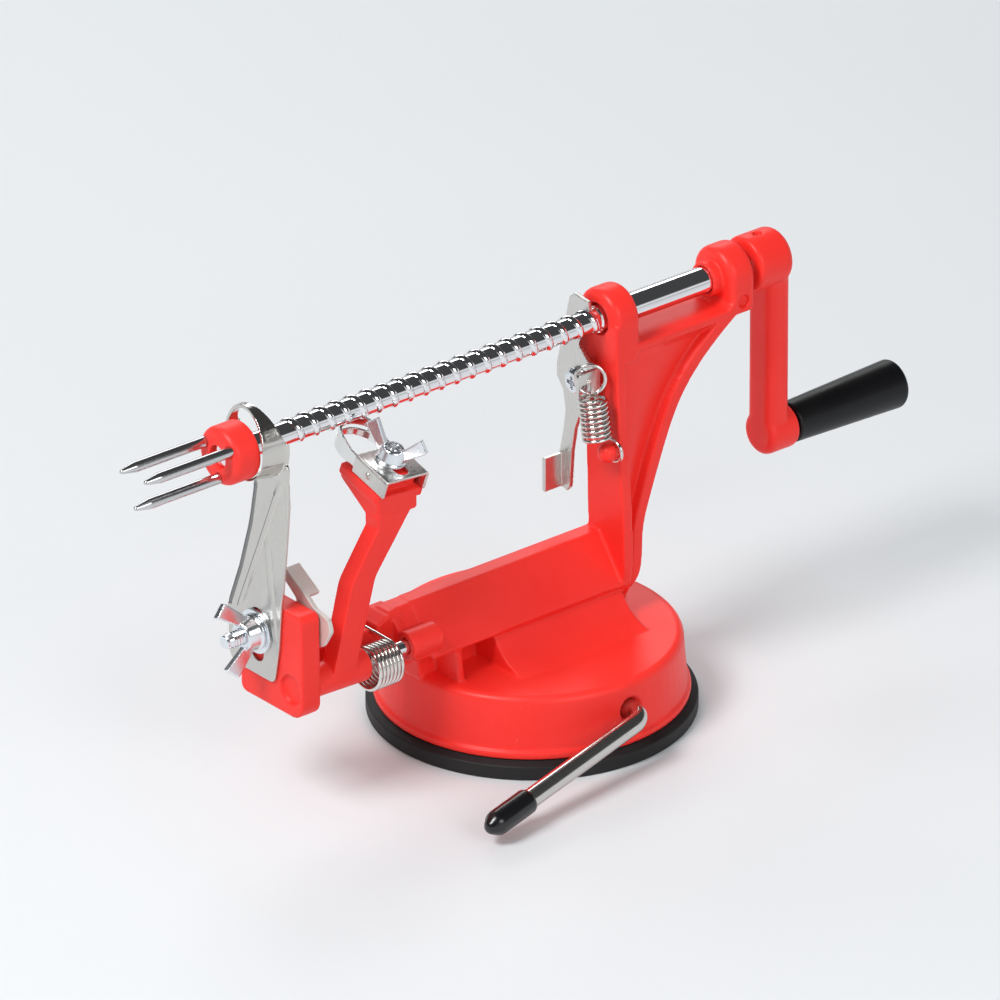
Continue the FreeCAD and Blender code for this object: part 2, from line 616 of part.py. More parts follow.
def make_crank():
    """Hub, arm and handle boss of the crank in one moulding; its hub is on the body's X axis."""
    body = new_body("crank_arm")
    front = crank_front()
    rear = front + s.crank_hub_length
    hub = new_sketch(body, "XZ")
    outline(hub, [
        (front, 0), (front, s.crank_hub_radius, 1.6), (rear, s.crank_hub_radius, 3.0), (rear, 0)])
    turn(body, hub, "H_Axis")
    arm = new_sketch(body, "XY")
    half = s.crank_arm_wide / 2
    r = s.crank_arm_round
    thin = rear - s.crank_arm_thick + 1.4
    thick = thin + s.crank_arm_thick
    outline(arm, [(thin, -half, r), (thick, -half, r), (thick, half, r), (thin, half, r)])
    pad(body, arm, "crank_throw", back=True)
    boss = new_sketch(body, "XZ")
    low = -s.crank_throw
    outline(boss, [
        (thin, low), (thin, low + s.crank_boss_radius, 2.4),
        (thin + s.crank_boss_length, low + s.crank_boss_radius, 1.6), (thin + s.crank_boss_length, low)])
    boss.addGeometry(Part.LineSegment(V(0, low, 0), V(9, low, 0)), True)
    turn(body, boss, "Axis0")
    socket = "shaft_radius + running_fit"
    drill(body, "YZ", "%g" % (front - 1), 0, 0, socket, "crank_hub_length - 2.5 + running_fit")
    drill(body, "XY", "-crank_hub_radius - 1", crank_pin_x(), 0, "crank_pin_radius + 0.02",
          "crank_hub_radius * 2 + 2")
    drill(body, "YZ", "%g" % (thin + 2.5), 0, low, "handle_pin_radius", "crank_boss_length")
    place(body, z="shaft_height")
    pin = doc.addObject("Part::Cylinder", "crank_pin")
    pin.Label = "crank_pin"
    put(pin, "Radius", "crank_pin_radius")
    put(pin, "Height", "crank_hub_radius * 2 - 2.4")
    place(pin, "%g" % crank_pin_x(), "0", "shaft_height - crank_hub_radius + 1.2")
    nodes.append(pin)
    return thin + s.crank_boss_length


def make_handle(boss_end):
    start = boss_end + s.handle_gap
    end = start + s.handle_length
    fit = s.handle_pin_radius + s.running_fit
    sink = 3.2
    turned_piece("crank_handle", [
        (start, fit), (start, s.handle_root_radius, 0.9), (end, s.handle_end_radius, 1.5),
        (end, s.pin_head + 0.6), (end - sink, s.pin_head + 0.6), (end - sink, fit)],
        z="shaft_height - crank_throw")
    root = boss_end - s.crank_boss_length + 2.5
    turned_piece("handle_pin", [
        (root, 0), (root, s.handle_pin_radius), (end - sink + 0.2, s.handle_pin_radius),
        (end - sink + 0.2, s.pin_head), (end - 0.6, s.pin_head, 1.2), (end - 0.6, 0)],
        z="shaft_height - crank_throw")


# Thread lever

def make_thread_lever():
    """A stamped plate that hooks over the shaft; its arc rides in the thread's groove."""
    body = new_body("thread_lever")
    front = "column_face - lever_gap - lever_plate"
    bite = s.shaft_radius - s.thread_depth + 0.25
    sketch = new_sketch(body, "YZ", front)
    low, mid, high = (V(bite * math.cos(math.radians(angle)), bite * math.sin(math.radians(angle)), 0)
                      for angle in (-32, 33, 98))
    corners = [low] + [V(y, z, 0) for y, z in (
        (4.6, -10.0), (0.4, -13.8), (-s.ear_y, -14.8), (-s.ear_y, -23.0), (-1.4, -23.1), (-0.9, -26.4),
        (3.8, -32.8), (6.6, -39.8), (8.2, -48.5), (9.2, -61.0), (10.4, -62.6), (14.2, -61.8),
        (14.0, -50.0), (12.2, -42.0), (11.0, -34.4), (12.2, -27.8), (15.2, -24.0), (15.2, -19.8),
        (13.8, -13.8), (11.3, -3.6), (9.0, 5.6), (6.8, 7.4), (0.2, 6.6))] + [high]
    for a, b in zip(corners, corners[1:]):
        sketch.addGeometry(Part.LineSegment(a, b))
    sketch.addGeometry(Part.Arc(high, mid, low))
    pad(body, sketch, "lever_plate")
    drill(body, "YZ", front, s.lever_pivot_y, -s.lever_pivot_drop, "lever_screw_radius + running_fit",
          "lever_plate")
    x = s.column_face - s.lever_gap - s.lever_plate
    tab = new_sketch(body, "XY", "-61.8")
    outline(tab, [
        (x + s.lever_plate, 14.1), (x - s.lever_tab_reach, 14.1), (x - s.lever_tab_reach, 12.7),
        (x + s.lever_plate, 12.7)])
    pad(body, tab, "11.6")
    ear = new_sketch(body, "XZ", "ear_y - lever_plate")
    outline(ear, [
        (x + s.lever_plate, -23.0), (x + s.lever_plate, -14.8), (x - s.ear_reach, -14.8, 1.5),
        (x - s.ear_reach, -23.0, 1.5)])
    pad(body, ear, "lever_plate")
    eye = new_sketch(body, "XZ", "ear_y - lever_plate - 1")
    circle(eye, x - s.ear_reach + 2.7, -20.8, "tension_wire * 2")
    pocket(body, eye, "lever_plate + 2")
    place(body, z="shaft_height")


def make_lever_screw():
    """A cross-headed pan screw, driven into the boss on the column."""
    head = s.column_face - s.lever_gap - s.lever_plate - 0.15
    shank_end = head + s.lever_plate + s.lever_gap + 3.0
    body = turned_piece("thread_lever_screw", [
        (head - 3.0, 0), (head - 3.0, s.lever_screw_head - 1.2, 1.6), (head - 1.2, s.lever_screw_head, 0.9),
        (head, s.lever_screw_head), (head, s.lever_screw_radius), (shank_end, s.lever_screw_radius),
        (shank_end, 0)], y="lever_pivot_y", z="shaft_height - lever_pivot_drop")
    for wide, tall in ((0.55, 2.2), (2.2, 0.55)):
        slot = new_sketch(body, "YZ", "%g" % (head - 4.0))
        outline(slot, [(-wide, -tall), (wide, -tall), (wide, tall), (-wide, tall)])
        pocket(body, slot, "2.6")


# Wire springs

def biarc(p0, t0, p1, t1):
    """Two arcs from p0 to p1 that leave along t0 and arrive along t1."""
    chord = p1 - p0
    bend = 2 * (1 - t0.dot(t1))
    lean = chord.dot(t0 + t1)
    if bend < 1e-9:
        reach = chord.dot(chord) / (4 * chord.dot(t0))
    else:
        reach = (-lean + math.sqrt(lean * lean + bend * chord.dot(chord))) / bend
    joint = (p0 + t0 * reach + p1 - t1 * reach) * 0.5
    edges = []
    for start, peak, stop in ((p0, p0 + t0 * reach, joint), (joint, p1 - t1 * reach, p1)):
        weight = (stop - start).Length / 2 / reach
        middle = (start + stop + peak * (2 * weight)) * (1 / (2 + 2 * weight))
        if (middle - (start + stop) * 0.5).Length < 1e-5:
            edges.append(Part.LineSegment(start, stop).toShape())
        else:
            edges.append(Part.Arc(start, middle, stop).toShape())
    return edges


def wire_spring(label, stations, wire):
    """A round wire through stations of (place, direction), with straight ends."""
    edges = []
    first, heading = stations[0]
    edges.append(Part.LineSegment(first - heading * wire, first).toShape())
    for (p0, t0), (p1, t1) in zip(stations, stations[1:]):
        edges += biarc(p0, t0, p1, t1)
    last, leaving = stations[-1]
    edges.append(Part.LineSegment(last, last + leaving * wire).toShape())
    path = Part.Wire(edges)
    profile = Part.Wire(Part.makeCircle(wire / 2, first - heading * wire, heading))
    node = plain_node(label, path.makePipeShell([profile], True, False))
    print(label, "least gap to itself %.2f mm" % least_gap(path, wire))
    return node


def least_gap(path, wire):
    """The least clear distance between two stretches of the wire, measured on points."""
    points = path.discretize(Distance=wire / 3)
    apart = int(4 * 3)
    nearest = 1e9
    for i, p in enumerate(points):
        for q in points[i + apart:]:
            nearest = min(nearest, (p - q).Length)
    return nearest - wire


def coil_stations(centre, axis, across, radius, pitch, start, turns, hand=1):
    """Quarter-turn stations of a helix about an axis, from an angle in degrees."""
    side = axis.cross(across)
    steps = math.ceil(turns * 4)
    quarter = turns * 360 / steps
    stations = []
    for i in range(steps + 1):
        angle = math.radians(start + hand * quarter * i)
        out = across * math.cos(angle) + side * math.sin(angle)
        around = (side * math.cos(angle) - across * math.sin(angle)) * hand
        place_ = centre + out * radius + axis * (pitch * turns * i / steps)
        heading = (around * (2 * math.pi * radius) + axis * pitch).normalize()
        stations.append((place_, heading))
    return stations


def make_tension_spring():
    """Close coils with a round loop through the lever's ear and a hook under the post."""
    high = s.lever_pivot_z - 1.6
    top = V(20.3, -5.7, high)
    foot = V(20.3, -8.0, high - s.tension_turns * s.tension_pitch)
    axis = (foot - top).normalize()
    across = V(math.cos(math.radians(-40)), math.sin(math.radians(-40)), 0)
    across = (across - axis * across.dot(axis)).normalize()
    centre = top - axis * (s.loop_radius + 1.6)
    loop = []
    for angle in (250, 180, 90, 0, -62):
        a = math.radians(angle)
        out = across * math.cos(a) - axis * math.sin(a)
        around = across * math.sin(a) + axis * math.cos(a)
        loop.append((centre + out * s.loop_radius, around))
    coils = coil_stations(top, axis, across, s.tension_radius, s.tension_pitch, 90, s.tension_turns)
    across_post = s.column_face - 2.0
    hook = [(V(across_post, -s.post_y - 4.2, s.post_z + 0.2), V(0, 0, -1)),
            (V(across_post, -s.post_y - 1.4, s.post_z - 3.2), V(0, 0.95, -0.3).normalize()),
            (V(across_post, -s.post_y + 0.4, s.post_z - 3.4), V(0, 1, 0))]
    wire_spring("tension_spring", loop + coils + hook, s.tension_wire)


def make_torsion_spring():
    """Coils that hang on the pin, with a leg behind the arm and one in the bar's notch."""
    gap = s.side_gap
    start = -s.bracket_face + s.bracket_thickness + gap + s.arm_hub_length + gap + s.torsion_wire
    centre = V(start, -s.arm_pivot_y, s.arm_pivot_z - s.torsion_hang)
    coils = coil_stations(centre, V(1, 0, 0), V(0, 1, 0), s.torsion_radius, s.torsion_pitch, 0,
                          s.torsion_turns, -1)
    first, last = coils[0][0], coils[-1][0]
    rest = -s.arm_pivot_y + 1.5 + s.torsion_wire / 2 + gap
    front = [(V(first.x - 8.5, rest, first.z + 15.0), V(1, 0.05, -0.12).normalize()),
             (V(first.x - 2.4, rest + 1.2, first.z + 12.4), V(0.62, 0.3, -0.72).normalize())]
    rear = [(V(last.x + 0.2, 1.2, last.z), V(0, 1, 0))]
    wire_spring("torsion_spring", front + coils + rear, s.torsion_wire)


# Peeling arm

HEAD_MIDDLE = -65.4
BOLT_ALONG = 8.9


def head_turn():
    """The head rises away from the arm's outer side and drops a little towards the rear."""
    return FreeCAD.Rotation(V(1, 0, 0), s.head_tilt) * FreeCAD.Rotation(V(0, 1, 0), s.head_roll)


def head_origin():
    return V(HEAD_MIDDLE, -17.0, s.shaft_height - s.head_drop)


def head_sketch(body, depth=0):
    """A sketch on the head's sloping top, or a depth below it: u along X, v up the slope."""
    sketch = body.newObject("Sketcher::SketchObject", body.Name + "_outline")
    origin = [f for f in body.Origin.OriginFeatures if f.Role == "XY_Plane"]
    sketch.AttachmentSupport = [(origin[0], "")]
    sketch.MapMode = "FlatFace"
    sunk = head_turn().multVec(V(0, 0, -depth))
    at = head_origin() + V(0, s.arm_pivot_y, -s.arm_pivot_z) + sunk
    sketch.AttachmentOffset = FreeCAD.Placement(at, head_turn())
    return sketch


def make_peel_arm():
    body = new_body("peel_arm")
    y0_shift = -s.arm_pivot_y
    front = -s.bracket_face + s.bracket_thickness + s.side_gap
    hub = new_sketch(body, "XZ")
    rear = front + s.arm_hub_length
    outline(hub, [
        (front, 0), (front, s.arm_hub_radius - 0.4, 0.4), (rear, s.arm_hub_radius + 0.2, 0.6), (rear, 0)])
    turn(body, hub, "H_Axis")
    arm = new_sketch(body, "XZ", "arm_thick - 1.5")
    top = s.shaft_height - s.head_drop - s.arm_pivot_z
    outline(arm, [
        (-93.4, 0, 2), (-85.4, top - 25.6, 12), (-74.6, top - 10), (-74.6, top - 6.2),
        (-62.4, top - 6.2), (-61.8, top - 7), (-75.8, top - 25.6, 10), (-84.4, 0, 2)])
    pad(body, arm, "arm_thick", back=True)
    gusset = new_sketch(body, "YZ", "%g - head_wide / 2 + 0.3" % HEAD_MIDDLE)
    outline(gusset, [
        (-16.1 - y0_shift, top - 1.2), (-16.1 - y0_shift, top - 7.6, 1.2), (-9.6 - y0_shift, top - 6.6),
        (2.2 - y0_shift, top + 1.4, 1.0), (2.6 - y0_shift, top + 3)])
    pad(body, gusset, "head_wide - 3.4")
    slab = head_sketch(body)
    half = s.head_wide / 2
    outline(slab, [(-half, 0.6, 1), (half, 0.6, 1), (half, 20.2, 1), (-half, 20.2, 1)])
    pad(body, slab, "head_thick", back=True)
    block = head_sketch(body)
    side = s.holder_wide / 2 - s.holder_sheet - s.blade_sheet - s.side_gap
    outline(block, [(-side, 3.0), (side, 3.0), (side, 14.0), (-side, 14.0)])
    pad(body, block, "holder_deep - holder_sheet - 0.2")
    bolt = head_sketch(body)
    circle(bolt, 0, BOLT_ALONG, "peeler_bolt_radius + running_fit")
    pocket(body, bolt, "40", both=True)
    seat = head_sketch(body, s.head_thick)
    circle(seat, 0, BOLT_ALONG, "peeler_bolt_radius + 2.3")
    pocket(body, seat, "8", back=True)
    drill(body, "YZ", "%g" % (front - 1), 0, 0, "pin_radius + running_fit", "arm_hub_length + 3")
    place(body, y="-arm_pivot_y", z="arm_pivot_z")
    return body


def tilted(shape):
    """Lays a shape, modelled flat with its middle on the bolt, on the arm's head."""
    turned = head_turn()
    lift = FreeCAD.Placement(head_origin() + turned.multVec(V(0, BOLT_ALONG, 0)), turned)
    shape.Placement = lift.multiply(shape.Placement)
    return shape


def make_blade_holder():
    """A channel of sheet metal over the head's block, with a slot for the bolt."""
    wide = s.holder_wide / 2
    deep = s.holder_deep
    t = s.holder_sheet
    near = -BOLT_ALONG - 0.2
    outer = Part.makeBox(2 * wide, s.holder_long, deep, V(-wide, near, 0.15))
    top = [e for e in outer.Edges if abs(e.BoundBox.ZMin - deep - 0.15) < 0.01]
    edges = [e for e in top if e.BoundBox.XLength < 0.01]
    outer = outer.makeFillet(1.2, edges)
    inner = Part.makeBox(2 * (wide - t), s.holder_long + 2, deep - t, V(-wide + t, near - 1, 0))
    channel = outer.cut(inner)
    half = s.slot_long / 2 - s.slot_wide / 2
    slot = Part.makeBox(s.slot_wide, 2 * half, 20, V(-s.slot_wide / 2, -half - 1.9, 0))
    for end in (-half - 1.9, half - 1.9):
        slot = slot.fuse(cylinder(s.slot_wide / 2, 20, V(0, end, 0), V(0, 0, 1)))
    dimple = Part.makeSphere(1.3, V(-wide + 0.7, near + 8.5, 3.2))
    channel = channel.cut(slot).fuse(dimple).cut(inner)
    plain_node("blade_holder", tilted(channel))


def hoop_plan(half, start, deep):
    """A U in plan: straight sides along Y that end in a half ellipse from start."""
    sides = Part.makePolygon([V(half, start, 0), V(half, -4.5, 0), V(-half, -4.5, 0), V(-half, start, 0)])
    long, short = (half, deep) if half > deep else (deep, half)
    bow = Part.Ellipse(V(0, start, 0), long, short)
    first = 0
    if half <= deep:
        bow.rotate(FreeCAD.Placement(V(0, start, 0), FreeCAD.Rotation(V(0, 0, 1), 90)))
        first = -math.pi / 2
    arc = Part.ArcOfEllipse(bow, first, first + math.pi)
    return Part.Face(Part.Wire(Part.__sortEdges__(sides.Edges + [arc.toShape()])))


def make_peeler_blade():
    """A strip bent into a hoop behind the channel, with a cutting slit round its bow."""
    t = s.blade_sheet
    wide = s.holder_wide / 2 - s.holder_sheet - 0.02
    start = s.hoop_start
    deep = s.hoop_deep
    height = s.hoop_top + 4
    outer = hoop_plan(wide, start, deep).extrude(V(0, 0, height))
    inner = hoop_plan(wide - t, start, deep - t).extrude(V(0, 0, height))
    inner = inner.fuse(Part.makeBox(2 * (wide - t), 10, height, V(t - wide, -9.0, 0)))
    ceiling = s.holder_deep - s.holder_sheet - 0.1
    rear = s.holder_long - BOLT_ALONG
    side = Part.makePolygon([V(-wide, p[0], p[1]) for p in (
        (-4.5, 1.0), (-4.5, ceiling), (rear, ceiling), (rear + 3.5, s.hoop_top - 3.2),
        (start, s.hoop_top - 2.0), (start + 2.5, s.hoop_top - 1.4), (start + 4.5, s.hoop_top - 0.7),
        (start + 9, s.hoop_top), (start + 9, 1.3), (start, 0.8), (-4.5, 1.0))])
    profile = Part.Face(side).extrude(V(2 * wide, 0, 0))
    slit = Part.makeBox(2 * wide - 3.0, 12, s.slit_wide, V(1.5 - wide, start - 0.6, s.slit_height))
    blade = outer.cut(inner).common(profile).cut(slit)
    plain_node("peeler_blade", tilted(blade))


def wing_nut(hub_radius, hub_height, bore, reach, rise, thick, turn_by, steep=False):
    """A wing nut standing on the XY plane, its wings along the turned Y axis or, steep, in a V."""
    hub = Part.makeCone(hub_radius + 0.6, hub_radius - 0.6, hub_height, V(0, 0, 0), V(0, 0, 1))
    flange = cylinder(hub_radius + 1.0, 0.8, V(0, 0, 0), V(0, 0, 1))
    wings = [hub, flange]
    for side in (1, -1):
        if steep:
            tip = [(reach, rise - 4.0), (reach - 3.7, rise)]
        else:
            low = max(rise - 6.2, 0.9)
            tip = [(reach - 2.0, low), (reach, low + 1.2), (reach - 0.6, rise), (reach - 3.6, rise - 0.5)]
        tip = [(hub_radius - 1.6, 0.9)] + tip + [(hub_radius - 2.4, hub_height)]
        corners = [V(0, side * out, up) for out, up in tip]
        face = Part.Face(Part.makePolygon(corners + [corners[0]]))
        wing = face.extrude(V(thick, 0, 0))
        wing.translate(V(-thick / 2, 0, 0))
        rims = [e for e in wing.Edges if e.BoundBox.XLength < 0.01 and abs(e.CenterOfMass.y) > hub_radius]
        wings.append(wing.makeFillet(thick * 0.35, rims))
    nut = wings[0].multiFuse(wings[1:])
    nut = nut.cut(cylinder(bore, hub_height + 4, V(0, 0, -1), V(0, 0, 1)))
    nut.rotate(V(0, 0, 0), V(0, 0, 1), turn_by)
    return nut


def ringed_bolt(radius, length, pitch=0.9):
    """A bolt's shank along +Z with the rings of its thread."""
    points = [V(0, 0, 0), V(radius - 0.25, 0, 0)]
    rings = int(length / pitch)
    for i in range(rings):
        z = i * length / rings
        points.append(V(radius - 0.25, 0, z + 0.1))
        points.append(V(radius, 0, z + 0.45))
    points += [V(radius - 0.4, 0, length), V(0, 0, length)]
    face = Part.Face(Part.makePolygon(points + [points[0]]))
    return face.revolve(V(0, 0, 0), V(0, 0, 1), 360)


def make_peeler_fasteners():
    sheet_top = s.holder_deep + 0.15
    below = -s.head_thick
    shank = cylinder(s.peeler_bolt_radius, sheet_top - below, V(0, 0, below), V(0, 0, 1))
    head = cylinder(s.peeler_bolt_radius + 1.9, 1.8, V(0, 0, below - 1.8), V(0, 0, 1))
    thread = ringed_bolt(s.peeler_bolt_radius, s.wing_hub_height + 1.4)
    thread.translate(V(0, 0, sheet_top - 0.01))
    plain_node("peeler_bolt", tilted(shank.multiFuse([head, thread]).removeSplitter()))
    nut = wing_nut(s.wing_hub_radius, s.wing_hub_height, s.peeler_bolt_radius + 0.05, s.wing_reach,
                   s.wing_rise, s.wing_thick, 29)
    nut.translate(V(0, 0, sheet_top + 0.05))
    plain_node("peeler_wing_nut", tilted(nut))


def make_pivot_pin():
    start = -s.bracket_face + 2.6
    end = -s.hood_front + 6.5
    turned_piece("pivot_pin", [
        (start, 0), (start, s.pin_radius, 0.4), (end, s.pin_radius, 0.4), (end, 0)],
        y="-arm_pivot_y", z="arm_pivot_z")


# Slicing and coring blade

def make_slicer_blade():
    """A flat blade drawn up into the coring ring, with a slot for its stud.

    Its outline is drawn with the ring 69.4 mm over the stud, and stretches with that length.
    """
    t = s.slicer_sheet
    back = -s.bracket_face
    front = back - t
    body = new_body("slicer_blade")
    sketch = new_sketch(body, "YZ", "-bracket_face - slicer_sheet")
    length = s.ring_z - s.slicer_bolt_z
    outline(sketch, [(s.ring_y + 9.2, s.ring_z - 4, 3)] + [
        (y, s.slicer_bolt_z + above * length / 69.4, r) for y, above, r in (
            (4.6, 52.4, 6), (7.2, 38.8, 60), (12.6, 21.3, 80), (18.2, 7.2, 8), (17.2, -13.0, 4),
            (-4.6, -13.2, 3), (-7.0, -0.4, 20), (-8.4, 13.9, 60), (-11.0, 34.4, 60), (-12.7, 50.4, 20))
    ] + [(s.ring_y - 13.1, s.ring_z - 4, 3)])
    pad(body, sketch, "slicer_sheet")
    ring = new_sketch(body, "XZ", "-ring_y")
    r = s.ring_radius
    tip = front - s.ring_length
    outline(ring, [
        (tip, s.ring_z + r - 0.15), (tip + 2.2, s.ring_z + r + 0.05),
        (front + 0.2, s.ring_z + r + s.ring_flare, 1.6), (back, s.ring_z + r + s.ring_flare + 0.7),
        (back, s.ring_z + r - 0.7), (tip + 1.0, s.ring_z + r - 0.95)])
    ring.addGeometry(Part.LineSegment(V(tip, s.ring_z, 0), V(back, s.ring_z, 0)), True)
    turn(body, ring, "Axis0")
    drill(body, "YZ", "-bracket_face - slicer_sheet - 0.5", s.ring_y, s.ring_z,
          "ring_radius - 0.7", "slicer_sheet + 1")
    shear = new_sketch(body, "XZ", "ring_radius + 10")
    outline(shear, [
        (back + 1, s.ring_z + 1.5), (back - 0.6, s.ring_z + 1.5, 3), (back - 4.4, s.ring_z + r + 3),
        (back + 1, s.ring_z + r + 3)])
    pocket(body, shear, "ring_radius * 2 + 20", back=True)
    lean = new_sketch(body, "YZ")
    lean.setExpression("AttachmentOffset.Base.z", None)
    turned = FreeCAD.Rotation(V(0, 1, 0), -9.7) * FreeCAD.Rotation(V(1, 0, 0), 6.3)
    lean.AttachmentOffset = FreeCAD.Placement(V(s.ring_y, s.ring_z, -s.bracket_face - 7.4), turned)
    outline(lean, [(-20, -20), (20, -20), (20, 20), (-20, 20)])
    pocket(body, lean, "9", back=True)
    slot = new_sketch(body, "YZ", "-bracket_face - slicer_sheet - 0.5")
    half = s.slicer_bolt_radius + 0.35
    y = s.slicer_bolt_y
    low = s.slicer_bolt_z + s.slot_shift - s.slot_half
    high = low + 2 * s.slot_half
    r = half * 0.99
    outline(slot, [(y - half, low, r), (y + half, low, r), (y + half, high, r), (y - half, high, r)])
    pocket(body, slot, "slicer_sheet + 1")
    return body


def make_slicer_fasteners():
    """Stud, washer and wing nut that clamp the slicing blade to the bracket."""
    front = -s.bracket_face - s.slicer_sheet
    thin = s.slicer_washer_thickness
    wide = s.slicer_washer_radius
    hole = s.slicer_bolt_radius + 0.2
    centre = V(0, s.slicer_bolt_y, s.slicer_bolt_z + s.stud_lift)
    stud = ringed_bolt(s.slicer_bolt_radius, s.slicer_bolt_reach + s.slicer_sheet + 6.0)
    stud.rotate(V(0, 0, 0), V(0, 1, 0), -90)
    stud.translate(centre + V(-s.bracket_face + 6.0, 0, 0))
    plain_node("slicer_stud", stud)
    turned_piece("slicer_washer", [
        (front - thin, hole), (front - thin, wide, 0.3), (front, wide, 0.3), (front, hole)],
        y="slicer_bolt_y", z="slicer_bolt_z + stud_lift")
    nut = wing_nut(s.wing_hub_radius + 0.5, s.slicer_hub_height, s.slicer_bolt_radius + 0.05,
                   s.slicer_wing_reach, s.slicer_wing_rise, s.wing_thick + 0.3, 0, steep=True)
    nut.rotate(V(0, 0, 0), V(0, 1, 0), -90)
    nut.rotate(V(0, 0, 0), V(1, 0, 0), 90 - 16)
    nut.translate(centre + V(front - s.slicer_washer_thickness - 0.05, 0, 0))
    plain_node("slicer_wing_nut", nut)


# Catch lever

def make_catch_lever():
    """A stamped catch with a thumb tab, riveted behind the bracket."""
    body = new_body("catch_lever")
    back = "-bracket_face + bracket_thickness + side_gap"
    sketch = new_sketch(body, "YZ", back)
    outline(sketch, [
        (0.3, 80.0), (-9.8, 73.9), (-13.8, 71.0, 3), (-20.4, 69.6, 2), (-21.6, 65.6, 2), (-17.2, 58.6, 1.8),
        (-13.4, 60.6, 2), (-8.6, 62.4, 6), (-3.4, 60.4, 3), (1.2, 62.0, 3), (1.6, 66.8, 3),
        (-6.4, 70.2, 1.5), (0.3, 75.4)])
    pad(body, sketch, "catch_plate")
    drill(body, "YZ", back, -s.catch_pivot_y, s.catch_pivot_z, "rivet_radius + running_fit", "catch_plate")
    tab = new_sketch(body, "YZ", back)
    outline(tab, [(0.3, 80.0), (-9.8, 73.9), (-9.0, 72.6), (0.3, 78.2)])
    pad(body, tab, "catch_plate + catch_tab")
    rear = -s.bracket_face + s.bracket_thickness + s.side_gap + s.catch_plate
    front = -s.bracket_face
    turned_piece("catch_rivet", [
        (front + 0.2, 0), (front + 0.2, s.rivet_radius), (rear + 0.2, s.rivet_radius),
        (rear + 0.2, s.rivet_head), (rear + 1.6, s.rivet_head, 1.2), (rear + 1.6, 0)],
        y="-catch_pivot_y", z="catch_pivot_z")


make_frame()
make_suction_pad()
make_suction_stem()
make_lever_cap(*make_suction_lever())
make_lever_clip()
make_feed_shaft()
make_fork()
make_handle(make_crank())
make_thread_lever()
make_lever_screw()
make_tension_spring()
make_peel_arm()
make_pivot_pin()
make_torsion_spring()
make_blade_holder()
make_peeler_blade()
make_peeler_fasteners()
make_slicer_blade()
make_slicer_fasteners()
make_catch_lever()
doc.recompute()


def sound(item):
    """Every object is up to date and holds a valid shape."""
    shape = getattr(item, "Shape", None)
    faulty = [state for state in item.State if state in ("Invalid", "Error")]
    return not faulty and (item not in nodes or (not shape.isNull() and shape.isValid()))


faults = [item.Name for item in doc.Objects if not sound(item)]
if faults:
    raise RuntimeError("these objects failed: " + ", ".join(faults))
os.makedirs("parts", exist_ok=True)
for node in nodes:
    node.Shape.exportStep("parts/%s.step" % node.Label)
    box = node.Shape.BoundBox
    print("%-20s %d solid  x %.1f %.1f  y %.1f %.1f  z %.1f %.1f  %.0f mm3" % (
        node.Label, len(node.Shape.Solids), box.XMin, box.XMax, box.YMin, box.YMax, box.ZMin, box.ZMax,
        node.Shape.Volume))
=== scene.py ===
"""Looks of the apple peeler: its mouldings, metals, rubber and springs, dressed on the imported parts."""

import json
import math
import bmesh
import bpy
import numpy as np
from mathutils import Matrix, Vector

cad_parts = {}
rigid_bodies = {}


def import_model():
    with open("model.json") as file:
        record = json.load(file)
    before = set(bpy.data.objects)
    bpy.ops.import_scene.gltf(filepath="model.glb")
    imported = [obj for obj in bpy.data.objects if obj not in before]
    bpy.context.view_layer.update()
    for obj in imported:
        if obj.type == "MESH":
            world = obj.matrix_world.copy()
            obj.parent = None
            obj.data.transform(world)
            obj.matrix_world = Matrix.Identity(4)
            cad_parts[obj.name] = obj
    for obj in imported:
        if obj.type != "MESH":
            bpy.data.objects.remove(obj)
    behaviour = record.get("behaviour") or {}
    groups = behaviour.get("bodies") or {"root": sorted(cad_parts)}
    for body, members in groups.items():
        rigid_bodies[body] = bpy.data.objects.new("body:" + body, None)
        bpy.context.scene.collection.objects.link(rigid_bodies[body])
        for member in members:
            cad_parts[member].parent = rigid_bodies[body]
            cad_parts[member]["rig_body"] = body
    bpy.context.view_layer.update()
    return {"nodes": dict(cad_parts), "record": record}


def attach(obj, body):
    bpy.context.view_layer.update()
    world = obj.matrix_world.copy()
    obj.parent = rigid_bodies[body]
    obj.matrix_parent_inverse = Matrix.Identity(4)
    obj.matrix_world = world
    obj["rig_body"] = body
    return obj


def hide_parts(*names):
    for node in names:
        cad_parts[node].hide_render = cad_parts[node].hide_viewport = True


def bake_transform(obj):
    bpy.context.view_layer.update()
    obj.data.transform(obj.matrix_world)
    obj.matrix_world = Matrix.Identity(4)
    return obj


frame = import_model()
nodes = frame["nodes"]
scene = bpy.context.scene
MM = 0.001


# Camera: the photograph's viewing angle, with a long lens from 3.6 m away

SIGHT_TURN = math.radians(50.36)
SIGHT_DROP = math.radians(26.47)
SIGHT_ROLL = math.radians(-0.295)
SIGHT_DISTANCE = 3.6219
SIGHT_REACH = 11.494           # focal length in picture widths
SIGHT_RIGHT = 0.03199          # how far right and down of the middle the origin stands, in widths
SIGHT_DOWN = 0.20322


